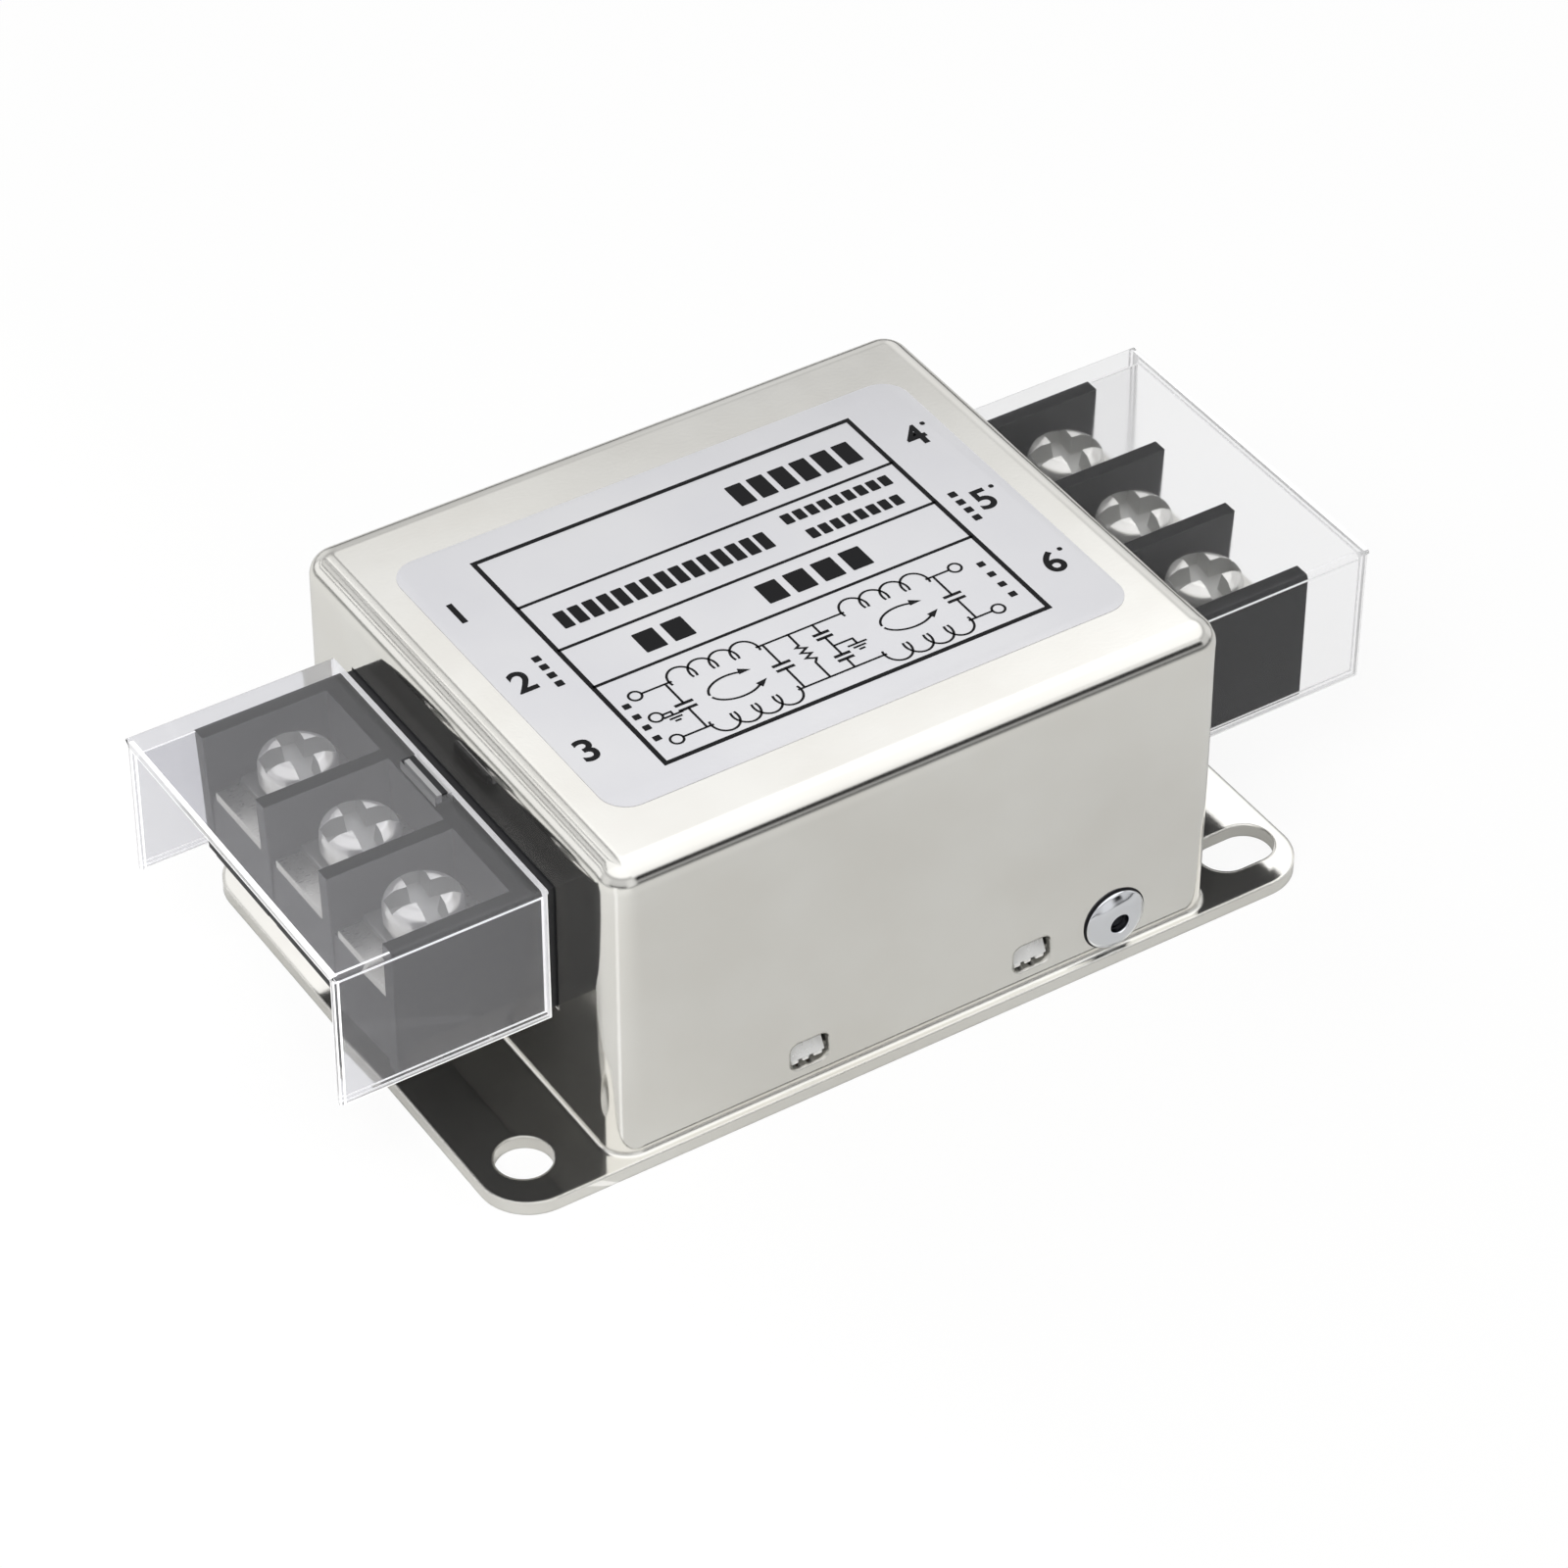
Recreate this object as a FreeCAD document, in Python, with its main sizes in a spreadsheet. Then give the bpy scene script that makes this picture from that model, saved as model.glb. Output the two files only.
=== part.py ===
import FreeCAD, Part
import math
import os
import re
import Sketcher

# Mains line filter: a drawn steel can with mounting flanges, barrier terminals under
# clear covers at both ends, and a two-stage choke and capacitor circuit inside.
# X runs from the line end (-X) to the load end (+X), Y across, Z up from the mounting plane.

os.makedirs("parts", exist_ok=True)
doc = FreeCAD.newDocument("line_filter")
sheet = doc.addObject("Spreadsheet::Sheet", "Sizes")

# How close an edge must lie to the place where it is looked for, in millimetres
EDGE_TOLERANCE = 0.02

# Wires and their holes have this many flat sides
WIRE_SIDES = 8

# Driving sizes in millimetres
SIZES = {
    # drawn can
    "case_length": 65.0,
    "case_width": 54.8,
    "case_height": 34.6,
    "case_sheet": 1.4,
    "case_corner_radius": 2.8,
    "case_top_radius": 2.4,
    "inner_radius_least": 0.3,
    # flared mouth and mounting flanges
    "flange_length": 88.0,
    "flange_corner_radius": 5.0,
    "flare_radius": 0.4,
    "flare_land": 0.4,
    "mount_spacing_x": 78.0,
    "mount_spacing_y": 44.5,
    "mount_hole_diameter": 5.4,
    "mount_slot_length": 7.8,
    # bottom closing plate and its snap leaves
    "base_length": 60.0,
    "base_sheet": 0.8,
    "base_recess": 0.3,
    "base_side_height": 7.5,
    "base_bend_radius": 0.6,
    "base_gap": 0.1,
    "leaf_spacing": 24.2,
    "leaf_width": 3.6,
    "leaf_length": 2.2,
    "leaf_reach": 1.2,
    "leaf_clearance": 0.3,
    "window_width": 4.2,
    "window_height": 3.2,
    "window_corner_radius": 0.9,
    "window_level": 4.8,
    # blind rivets
    "rivet_place": 21.2,
    "rivet_level": 5.0,
    "rivet_head_diameter": 6.4,
    "rivet_head_height": 1.1,
    "rivet_shank_diameter": 3.2,
    "rivet_bulb_diameter": 4.4,
    "rivet_bulb_height": 1.5,
    "rivet_bore_diameter": 2.0,
    "rivet_bore_depth": 2.2,
    "rivet_gap": 0.1,
    "rivet_lip": 0.4,
    "rivet_rim": 0.35,
    # rating plate
    "label_length": 55.0,
    "label_width": 40.0,
    "label_sheet": 0.1,
    "label_corner_radius": 2.8,
    # moulded terminal blocks
    "pole_pitch": 11.3,
    "barrier_wall": 1.5,
    "block_level": 13.0,
    "block_height": 13.9,
    "floor_height": 7.2,
    "barrier_reach": 16.3,
    "floor_setback": 0.5,
    "deck_reach": 3.6,
    "block_gap": 0.2,
    "collar_wall": 1.6,
    "collar_margin": 1.6,
    "block_tail": 1.4,
    "foot_width": 3.0,
    "catch_width": 5.8,
    "catch_setback": 0.3,
    # terminal hardware
    "plate_sheet": 0.9,
    "plate_width": 8.4,
    "plate_gap": 0.1,
    "tail_width": 3.0,
    "tail_gap": 0.7,
    "screw_reach": 9.4,
    "screw_diameter": 4.0,
    "screw_length": 6.5,
    "screw_hole_gap": 0.15,
    "screw_well_depth": 6.4,
    "screw_head_diameter": 7.4,
    "screw_head_height": 2.6,
    "screw_head_side": 1.5,
    "screw_crown_width": 1.1,
    "recess_arm_width": 1.6,
    "recess_arm_reach": 3.1,
    "recess_depth": 1.4,
    "washer_side": 8.0,
    "washer_sheet": 0.9,
    # clear covers
    "cover_wall": 1.2,
    "cover_side_gap": 0.1,
    "cover_end_gap": 1.3,
    "cover_length": 21.2,
    "cover_notch_width": 6.2,
    "cover_notch_depth": 2.1,
    "cover_web": 0.4,
    "cover_edge_radius": 0.3,
    # circuit board and liner
    "board_level": 5.4,
    "board_sheet": 1.6,
    "board_length": 60.4,
    "board_width": 45.0,
    "liner_sheet": 0.3,
    "liner_length": 58.0,
    "liner_width": 46.0,
    "hole_gap": 0.15,
    "lead_below": 1.5,
    # chokes
    "core_diameter": 20.0,
    "core_bore": 11.0,
    "core_width": 8.0,
    "wire_diameter": 1.2,
    "wire_gap": 0.15,
    "choke_place": 10.25,
    "choke_lift": 0.4,
    "winding_turns": 6,
    "winding_half_angle": 66.0,
    "winding_lead_step": 1.5,
    # capacitors and bleed resistor
    "film_place": 20.5,
    "film_length": 18.0,
    "film_width": 6.0,
    "film_height": 14.0,
    "film_lead_spacing": 15.0,
    "film_lead_diameter": 0.8,
    "disc_place": 17.3,
    "disc_diameter": 9.0,
    "disc_width": 3.4,
    "disc_lift": 1.0,
    "disc_lead_spacing": 5.0,
    "disc_skirt": 0.9,
    "disc_skirt_width": 2.0,
    "small_lead_diameter": 0.7,
    "resistor_length": 9.0,
    "resistor_diameter": 3.2,
    "resistor_lift": 0.6,
    "resistor_lead_spacing": 12.5,
    # earth straps
    "strap_sheet": 0.5,
    "strap_width": 5.0,
    "strap_foot": 4.5,
}

# Places that follow from the driving sizes
PLACES = {
    "end_x": "case_length / 2",
    "inner_x": "end_x - case_sheet",
    "inner_y": "case_width / 2 - case_sheet",
    "inner_top": "case_height - case_sheet",
    "inner_corner": "max(case_corner_radius - case_sheet; inner_radius_least)",
    "rim": "flare_radius + flare_land",
    "flange_width": "case_width + 2 * rim",
    "base_half_width": "inner_y - base_gap",
    "base_top": "base_recess + base_sheet",
    "leaf_root": "window_level + window_height / 2 - base_gap",
    "block_half_width": "1.5 * pole_pitch + barrier_wall / 2",
    "block_top": "block_level + block_height",
    "floor_level": "block_level + floor_height",
    "barrier_x": "end_x + barrier_reach",
    "deck_x": "end_x + deck_reach",
    "collar_x": "inner_x - collar_wall",
    "block_back_x": "collar_x - block_tail",
    "board_top": "board_level + board_sheet",
    "lead_end": "board_level - lead_below",
    "plate_top": "floor_level + plate_sheet",
    "tail_x": "block_back_x - tail_gap",
    "screw_x": "end_x + screw_reach",
    "head_level": "plate_top + washer_sheet",
    "cover_x": "end_x + cover_end_gap",
    "cover_half_inside": "block_half_width + cover_side_gap",
    "cover_half_width": "cover_half_inside + cover_wall",
    "cover_top": "block_top + cover_wall",
    "winding_outer": "core_diameter / 2 + wire_gap + wire_diameter / 2",
    "winding_inner": "core_bore / 2 - wire_gap - wire_diameter / 2",
    "winding_side": "core_width / 2 + wire_gap + wire_diameter / 2",
    "choke_level": "board_top + choke_lift + winding_outer + wire_diameter / 2",
    "resistor_level": "board_top + resistor_lift + resistor_diameter / 2",
    "disc_level": "board_top + disc_lift + disc_diameter / 2",
    "winding_lead_y": "winding_outer * cos(winding_half_angle * 1 deg)",
    "winding_far_x": "winding_side + winding_lead_step",
}

for row, (alias, size) in enumerate(SIZES.items(), start=1):
    sheet.set(f"A{row}", alias)
    sheet.set(f"B{row}", str(size))
    sheet.setAlias(f"B{row}", alias)
doc.recompute()


def formula(text):
    """Write a size rule with its words turned into references to the sheet."""
    def swap(match):
        word = match.group(0)
        if word in PLACES:
            return "(" + formula(PLACES[word]) + ")"
        if word in SIZES:
            return "Sizes." + word
        return word
    return re.sub(r"[a-z][a-z_]+", swap, str(text))


def number(text):
    """The present value of a size rule."""
    value = sheet.evalExpression(formula(text))
    return float(getattr(value, "Value", value))


def bind(thing, **rules):
    """Tie properties of an object to size rules; double underscores stand for dots."""
    for name, rule in rules.items():
        thing.setExpression(name.replace("__", "."), formula(rule))


def place(thing, x="0", y="0", z="0", turn=0):
    """Put an object at x, y, z, after a turn in degrees about Z that also turns the place."""
    sign = -1 if turn else 1
    thing.Placement = FreeCAD.Placement(
        FreeCAD.Vector(sign * number(x), sign * number(y), number(z)),
        FreeCAD.Rotation(FreeCAD.Vector(0, 0, 1), turn),
    )
    bind(thing, Placement__Base__x=f"{sign} * ({x})", Placement__Base__y=f"{sign} * ({y})",
         Placement__Base__z=z)


def new_body(name):
    body = doc.addObject("PartDesign::Body", name)
    body.Label = name
    body.AllowCompound = True
    return body


def new_sketch(body, role, offset="0"):
    """A sketch on one of the body's own origin planes, shifted along the plane's normal."""
    sketch = body.newObject("Sketcher::SketchObject", body.Name + "_sketch")
    plane = next(f for f in body.Origin.OriginFeatures if f.Role == role)
    sketch.AttachmentSupport = [(plane, "")]
    sketch.MapMode = "FlatFace"
    bind(sketch, AttachmentOffset__Base__z=offset)
    return sketch


def pin(sketch, index, end, x, y):
    """Fix one point of the sketch at a place given by two size rules."""
    for kind, rule in (("DistanceX", x), ("DistanceY", y)):
        at = sketch.addConstraint(Sketcher.Constraint(kind, -1, 1, index, end, number(rule)))
        sketch.setExpression(f"Constraints[{at}]", formula(rule))


def polygon(sketch, points):
    """A closed outline of straight lines through points given by size rules."""
    start = sketch.GeometryCount
    spots = [FreeCAD.Vector(number(x), number(y), 0) for x, y in points]
    for a, b in zip(spots, spots[1:] + spots[:1]):
        sketch.addGeometry(Part.LineSegment(a, b), False)
    count = len(points)
    for i in range(count):
        after = start + (i + 1) % count
        sketch.addConstraint(Sketcher.Constraint("Coincident", start + i, 2, after, 1))
    for i, (x, y) in enumerate(points):
        pin(sketch, start + i, 1, x, y)


def rectangle(sketch, x0, x1, y0, y1):
    polygon(sketch, [(x0, y0), (x1, y0), (x1, y1), (x0, y1)])


def centred(sketch, width, depth, x="0", y="0"):
    rectangle(sketch, f"{x} - ({width}) / 2", f"{x} + ({width}) / 2",
              f"{y} - ({depth}) / 2", f"{y} + ({depth}) / 2")


def circle(sketch, x, y, diameter):
    at = sketch.addGeometry(
        Part.Circle(FreeCAD.Vector(number(x), number(y), 0), FreeCAD.Vector(0, 0, 1), number(diameter) / 2),
        False,
    )
    pin(sketch, at, 3, x, y)
    size = sketch.addConstraint(Sketcher.Constraint("Diameter", at, number(diameter)))
    sketch.setExpression(f"Constraints[{size}]", formula(diameter))


def wire_outline(diameter):
    """Corners of a many-sided outline whose flats lie on a circle of this diameter."""
    half_side = math.pi / WIRE_SIDES
    reach = diameter / 2 / math.cos(half_side)
    angles = [half_side + 2 * half_side * step for step in range(WIRE_SIDES)]
    return [(reach * math.cos(angle), reach * math.sin(angle)) for angle in angles]


def wire_hole(body, x, y, diameter):
    """A hole for a wire through the circuit board."""
    sketch = new_sketch(body, "XY_Plane", "board_top")
    points = [(f"{x} + ({diameter}) * {u:.9f}", f"{y} + ({diameter}) * {v:.9f}") for u, v in wire_outline(1)]
    polygon(sketch, points)
    pocket(body, sketch, "board_sheet")


def pad(body, sketch, length, both_ways=False, backwards=False):
    feature = body.newObject("PartDesign::Pad", body.Name + "_pad")
    feature.Profile = sketch
    bind(feature, Length=length)
    feature.SideType = "Symmetric" if both_ways else "One side"
    feature.Reversed = backwards
    doc.recompute()
    return feature


def pocket(body, sketch, length=None, both_ways=False, backwards=False):
    """Cut by a depth, or right through; the cut must remove material."""
    before = body.Shape.Volume
    feature = body.newObject("PartDesign::Pocket", body.Name + "_pocket")
    feature.Profile = sketch
    if length is None:
        feature.Type = "ThroughAll"
    else:
        bind(feature, Length=length)
    feature.SideType = "Symmetric" if both_ways else "One side"
    feature.Reversed = backwards
    doc.recompute()
    if not feature.Shape.Volume < before:
        raise RuntimeError(f"{feature.Name} cuts nothing")
    return feature


def edge_names(feature, wanted):
    """Names of the edges whose middle point and direction satisfy a test."""
    names = []
    for i, edge in enumerate(feature.Shape.Edges, start=1):
        middle = edge.valueAt((edge.FirstParameter + edge.LastParameter) / 2)
        box = edge.BoundBox
        if wanted(middle, box):
            names.append(f"Edge{i}")
    return names


def fillet(body, feature, wanted, radius):
    names = edge_names(feature, wanted)
    if not names:
        raise RuntimeError(f"no edge of {feature.Name} to round")
    rounded = body.newObject("PartDesign::Fillet", body.Name + "_round")
    rounded.Base = (feature, names)
    bind(rounded, Radius=radius)
    doc.recompute()
    return rounded


def repeat_along_y(body, originals, step, copies):
    """Copies at equal steps along Y."""
    pattern = body.newObject("PartDesign::LinearPattern", body.Name + "_row")
    pattern.Originals = originals
    axis = next(f for f in body.Origin.OriginFeatures if f.Role == "Y_Axis")
    pattern.Direction = (axis, [""])
    pattern.Occurrences = copies
    bind(pattern, Length=f"({step}) * {copies - 1}")
    body.Tip = pattern
    doc.recompute()
    return pattern


def near(a, b):
    return abs(a - b) < EDGE_TOLERANCE


def level(box):
    return box.ZLength < EDGE_TOLERANCE


def along_x(box):
    return box.YLength < EDGE_TOLERANCE and level(box) and not box.XLength < EDGE_TOLERANCE


def along_y(box):
    return box.XLength < EDGE_TOLERANCE and level(box) and not box.YLength < EDGE_TOLERANCE


def upright(box):
    return box.XLength < EDGE_TOLERANCE and box.YLength < EDGE_TOLERANCE and not level(box)


# Drawn can: four walls and a roof, a flared mouth that ends in a trimmed rim on the
# long sides and in mounting flanges at both ends
def make_case():
    body = new_body("case")
    half_x = number("end_x")
    half_y = number("case_width / 2")
    top = number("case_height")
    sketch = new_sketch(body, "XY_Plane")
    centred(sketch, "case_length", "case_width")
    block = pad(body, sketch, "case_height")
    block = fillet(body, block, lambda p, b: upright(b), "case_corner_radius")
    block = fillet(body, block, lambda p, b: near(p.z, top) and level(b), "case_top_radius")
    sketch = new_sketch(body, "XY_Plane")
    centred(sketch, "flange_length", "flange_width")
    flange = pad(body, sketch, "case_sheet")
    far = number("flange_length / 2")
    flange = fillet(body, flange, lambda p, b: upright(b) and near(abs(p.x), far), "flange_corner_radius")
    flange_top = number("case_sheet")

    def root(p, b):
        on_flange = near(p.z, flange_top) and level(b)
        return on_flange and abs(p.x) < half_x + EDGE_TOLERANCE and abs(p.y) < half_y + EDGE_TOLERANCE

    fillet(body, flange, root, "flare_radius")
    sketch = new_sketch(body, "XY_Plane")
    centred(sketch, "2 * inner_x", "2 * inner_y")
    hollow = pocket(body, sketch, "inner_top", backwards=True)
    inner_x = number("inner_x")
    inner_y = number("inner_y")

    def inside(p):
        return abs(p.x) < inner_x + EDGE_TOLERANCE and abs(p.y) < inner_y + EDGE_TOLERANCE

    hollow = fillet(body, hollow, lambda p, b: upright(b) and inside(p), "inner_corner")

    def mouth(p, b):
        return near(p.z, 0) and level(b) and inside(p)

    fillet(body, hollow, mouth, "flare_radius + case_sheet")
    # openings for the terminal blocks, through both end walls
    sketch = new_sketch(body, "YZ_Plane")
    rectangle(sketch, "-block_half_width - block_gap", "block_half_width + block_gap",
              "block_level - block_gap", "block_top + block_gap")
    pocket(body, sketch, both_ways=True)
    # snap windows, through both long walls
    for side in ("-1", "1"):
        sketch = new_sketch(body, "XZ_Plane")
        centred(sketch, "window_width", "window_height", f"{side} * leaf_spacing / 2", "window_level")
        windows = pocket(body, sketch, both_ways=True)
    low = number("window_level - window_height / 2")
    high = number("window_level + window_height / 2")

    def window_corner(p, b):
        return along_y(b) and (near(p.z, low) or near(p.z, high))

    fillet(body, windows, window_corner, "window_corner_radius")
    # one rivet hole in each long wall, opposite ways along X
    for side, backwards in (("1", False), ("-1", True)):
        sketch = new_sketch(body, "XZ_Plane")
        circle(sketch, f"{side} * rivet_place", "rivet_level", "rivet_shank_diameter + 2 * rivet_gap")
        pocket(body, sketch, backwards=not backwards)
    # round holes in the line flange
    sketch = new_sketch(body, "XY_Plane")
    for side in ("-1", "1"):
        circle(sketch, "-mount_spacing_x / 2", f"{side} * mount_spacing_y / 2", "mount_hole_diameter")
    pocket(body, sketch, backwards=True)
    # slots along X in the load flange: the straight run, then the two round ends
    sketch = new_sketch(body, "XY_Plane")
    for side in ("-1", "1"):
        centred(sketch, "mount_slot_length - mount_hole_diameter", "mount_hole_diameter",
                "mount_spacing_x / 2", f"{side} * mount_spacing_y / 2")
    pocket(body, sketch, backwards=True)
    sketch = new_sketch(body, "XY_Plane")
    for side in ("-1", "1"):
        for half in ("-1", "1"):
            circle(sketch, f"(mount_spacing_x + {half} * (mount_slot_length - mount_hole_diameter)) / 2",
                   f"{side} * mount_spacing_y / 2", "mount_hole_diameter")
    pocket(body, sketch, backwards=True)


# Closing plate: a shallow channel that slides up into the can's mouth, with four
# leaves bent out of its sides that snap into the can's windows
def make_base():
    body = new_body("bottom_cover")
    sketch = new_sketch(body, "YZ_Plane")
    outer = "base_half_width"
    inner = "(base_half_width - base_sheet)"
    top = "base_recess + base_side_height"
    polygon(sketch, [
        (f"-{outer}", "base_recess"), (outer, "base_recess"), (outer, top), (inner, top),
        (inner, "base_top"), (f"-{inner}", "base_top"), (f"-{inner}", top), (f"-{outer}", top),
    ])
    channel = pad(body, sketch, "base_length", both_ways=True)
    under = number("base_recess")
    floor = number("base_top")
    half = number("base_half_width")

    def outer_bend(p, b):
        return along_x(b) and near(p.z, under) and near(abs(p.y), half)

    def inner_bend(p, b):
        return along_x(b) and near(p.z, floor) and abs(p.y) < half

    channel = fillet(body, channel, outer_bend, "base_bend_radius + base_sheet")
    fillet(body, channel, inner_bend, "base_bend_radius")
    for side in ("-1", "1"):
        sketch = new_sketch(body, "XZ_Plane")
        middle = f"{side} * leaf_spacing / 2"
        half_window = "(leaf_width / 2 + leaf_clearance)"
        rectangle(sketch, f"{middle} - {half_window}", f"{middle} + {half_window}",
                  "leaf_root - leaf_length - leaf_clearance", "leaf_root")
        pocket(body, sketch, both_ways=True)
    for side_x in ("-1", "1"):
        for side_y in ("-1", "1"):
            sketch = new_sketch(body, "YZ_Plane", f"{side_x} * leaf_spacing / 2")
            root = f"{side_y} * base_half_width"
            back = f"{side_y} * (base_half_width - base_sheet)"
            tip = f"{side_y} * (base_half_width + leaf_reach)"
            tip_back = f"{side_y} * (base_half_width - base_sheet + leaf_reach)"
            free = "leaf_root - leaf_length"
            polygon(sketch, [(root, "leaf_root"), (back, "leaf_root"), (tip_back, free), (tip, free)])
            pad(body, sketch, "leaf_width", both_ways=True)
    for side, backwards in (("1", False), ("-1", True)):
        sketch = new_sketch(body, "XZ_Plane")
        circle(sketch, f"{side} * rivet_place", "rivet_level", "rivet_shank_diameter + 2 * rivet_gap")
        pocket(body, sketch, backwards=not backwards)


# Blind rivet: domed head on the can, hollow shank, bulb behind the closing plate's side
def make_rivets():
    pieces = []
    for name, turn in (("front", 0), ("back", 180)):
        body = new_body("rivet_" + name)
        sketch = new_sketch(body, "YZ_Plane")
        grip = "(case_sheet + base_gap + base_sheet)"
        head = "rivet_head_diameter / 2"
        shank = "rivet_shank_diameter / 2"
        bulb = "rivet_bulb_diameter / 2"
        bore = "rivet_bore_diameter / 2"
        blind = "rivet_bore_depth - rivet_head_height"
        polygon(sketch, [
            ("-rivet_head_height", bore), ("-rivet_head_height", f"{bore} + rivet_lip"),
            ("-rivet_rim", head), ("0", head), ("0", shank), (grip, shank), (grip, bulb),
            (f"{grip} + rivet_bulb_height", bulb), (f"{grip} + rivet_bulb_height", "0"),
            (blind, "0"), (blind, bore),
        ])
        turned = body.newObject("PartDesign::Revolution", body.Name + "_turned")
        turned.Profile = sketch
        turned.ReferenceAxis = (sketch, ["H_Axis"])
        turned.Angle = 360
        doc.recompute()
        place(body, "rivet_place", "-case_width / 2", "rivet_level", turn)
        pieces.append(body)
    join("rivets", pieces)


def join(name, pieces):
    """Separate solids that are one node."""
    group = doc.addObject("Part::Compound", name)
    group.Label = name
    group.Links = pieces
    doc.recompute()
    return group


# Rating plate: bare foil on the roof
def make_label():
    body = new_body("rating_plate")
    sketch = new_sketch(body, "XY_Plane", "case_height")
    centred(sketch, "label_length", "label_width")
    foil = pad(body, sketch, "label_sheet")
    fillet(body, foil, lambda p, b: upright(b), "label_corner_radius")


# Moulded block: floor, four barriers, a deck behind the terminals, and a collar with two
# feet inside the can that stands on the board
def make_block(end, turn):
    body = new_body(f"{end}_terminal_block")
    sketch = new_sketch(body, "XZ_Plane")
    polygon(sketch, [
        ("block_back_x", "block_level"), ("barrier_x - floor_setback", "block_level"),
        ("barrier_x - floor_setback", "floor_level"), ("deck_x", "floor_level"),
        ("deck_x", "block_top"), ("block_back_x", "block_top"),
    ])
    pad(body, sketch, "2 * block_half_width", both_ways=True)
    sketch = new_sketch(body, "XZ_Plane", "1.5 * pole_pitch")
    rectangle(sketch, "deck_x - barrier_wall", "barrier_x", "block_level", "block_top")
    barrier = pad(body, sketch, "barrier_wall", both_ways=True)
    repeat_along_y(body, [barrier], "pole_pitch", 4)
    # collar against the inside of the end wall, with its feet
    sketch = new_sketch(body, "YZ_Plane", "collar_x")
    wide = "(block_half_width + collar_margin)"
    foot = f"({wide} - foot_width)"
    under = "block_level - collar_margin"
    polygon(sketch, [
        (f"-{wide}", "board_top"), (f"-{foot}", "board_top"), (f"-{foot}", under), (foot, under),
        (foot, "board_top"), (wide, "board_top"), (wide, "block_top + collar_margin"),
        (f"-{wide}", "block_top + collar_margin"),
    ])
    pad(body, sketch, "collar_wall")
    # catch that locates the clear cover
    sketch = new_sketch(body, "XY_Plane", "block_top")
    rectangle(sketch, "cover_x + cover_web + catch_setback", "cover_x + cover_notch_depth - catch_setback",
              "-catch_width / 2", "catch_width / 2")
    pad(body, sketch, "cover_wall")
    # three slots for the terminal plates and three wells for the screw ends
    sketch = new_sketch(body, "YZ_Plane", "deck_x")
    for pole in ("-1", "0", "1"):
        centred(sketch, "plate_width + 2 * plate_gap", "plate_sheet + plate_gap",
                f"{pole} * pole_pitch", "floor_level + (plate_sheet + plate_gap) / 2")
    pocket(body, sketch, "deck_x - block_back_x")
    sketch = new_sketch(body, "XY_Plane", "floor_level")
    for pole in ("-1", "0", "1"):
        circle(sketch, "screw_x", f"{pole} * pole_pitch", "screw_diameter + 4 * screw_hole_gap")
    pocket(body, sketch, "screw_well_depth")
    place(body, turn=turn)


# Terminal plate: a contact bar on the floor, through the deck, with a narrow tail bent
# down through the board
def make_plates(end, turn):
    body = new_body(f"{end}_terminal_plates")
    sketch = new_sketch(body, "XZ_Plane", "pole_pitch")
    rectangle(sketch, "block_back_x", "barrier_x - floor_setback", "floor_level", "plate_top")
    bar = pad(body, sketch, "plate_width", both_ways=True)
    sketch = new_sketch(body, "XZ_Plane", "pole_pitch")
    polygon(sketch, [
        ("block_back_x", "plate_top"), ("tail_x - plate_sheet", "plate_top"),
        ("tail_x - plate_sheet", "lead_end"), ("tail_x", "lead_end"),
        ("tail_x", "floor_level"), ("block_back_x", "floor_level"),
    ])
    tail = pad(body, sketch, "tail_width", both_ways=True)
    sketch = new_sketch(body, "XY_Plane", "plate_top")
    circle(sketch, "screw_x", "-pole_pitch", "screw_diameter + 2 * screw_hole_gap")
    hole = pocket(body, sketch, "plate_sheet")
    repeat_along_y(body, [bar, tail, hole], "pole_pitch", 3)
    place(body, turn=turn)


# Square clamp washers
def make_washers(end, turn):
    body = new_body(f"{end}_clamp_washers")
    sketch = new_sketch(body, "XY_Plane")
    for pole in ("-1", "0", "1"):
        centred(sketch, "washer_side", "washer_side", "0", f"{pole} * pole_pitch")
        circle(sketch, "0", f"{pole} * pole_pitch", "screw_diameter + 2 * screw_hole_gap")
    pad(body, sketch, "washer_sheet")
    place(body, "screw_x", "0", "plate_top", turn)


# Pan head screws with a cross recess
def make_screw(name, pole, turn):
    body = new_body(name)
    sketch = new_sketch(body, "XZ_Plane")
    head = "screw_head_diameter / 2"
    shank = "screw_diameter / 2"
    polygon(sketch, [
        ("0", "-screw_length"), (shank, "-screw_length"), (shank, "0"), (head, "0"),
        (head, "screw_head_side"), (f"{head} - screw_crown_width", "screw_head_height"),
        ("0", "screw_head_height"),
    ])
    turned = body.newObject("PartDesign::Revolution", body.Name + "_turned")
    turned.Profile = sketch
    turned.ReferenceAxis = (sketch, ["V_Axis"])
    turned.Angle = 360
    doc.recompute()
    sketch = new_sketch(body, "XY_Plane", "screw_head_height")
    arm = "recess_arm_width / 2"
    reach = "recess_arm_reach"
    polygon(sketch, [
        (f"-{reach}", f"-{arm}"), (f"-{arm}", f"-{arm}"), (f"-{arm}", f"-{reach}"),
        (arm, f"-{reach}"), (arm, f"-{arm}"), (reach, f"-{arm}"),
        (reach, arm), (arm, arm), (arm, reach),
        (f"-{arm}", reach), (f"-{arm}", arm), (f"-{reach}", arm),
    ])
    pocket(body, sketch, "recess_depth")
    place(body, "screw_x", f"{pole} * pole_pitch", "head_level", turn)
    return body


def make_screws(end, turn):
    screws = [make_screw(f"{end}_screw_{i}", pole, turn) for i, pole in enumerate(("-1", "0", "1"), start=1)]
    join(f"{end}_terminal_screws", screws)


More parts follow.
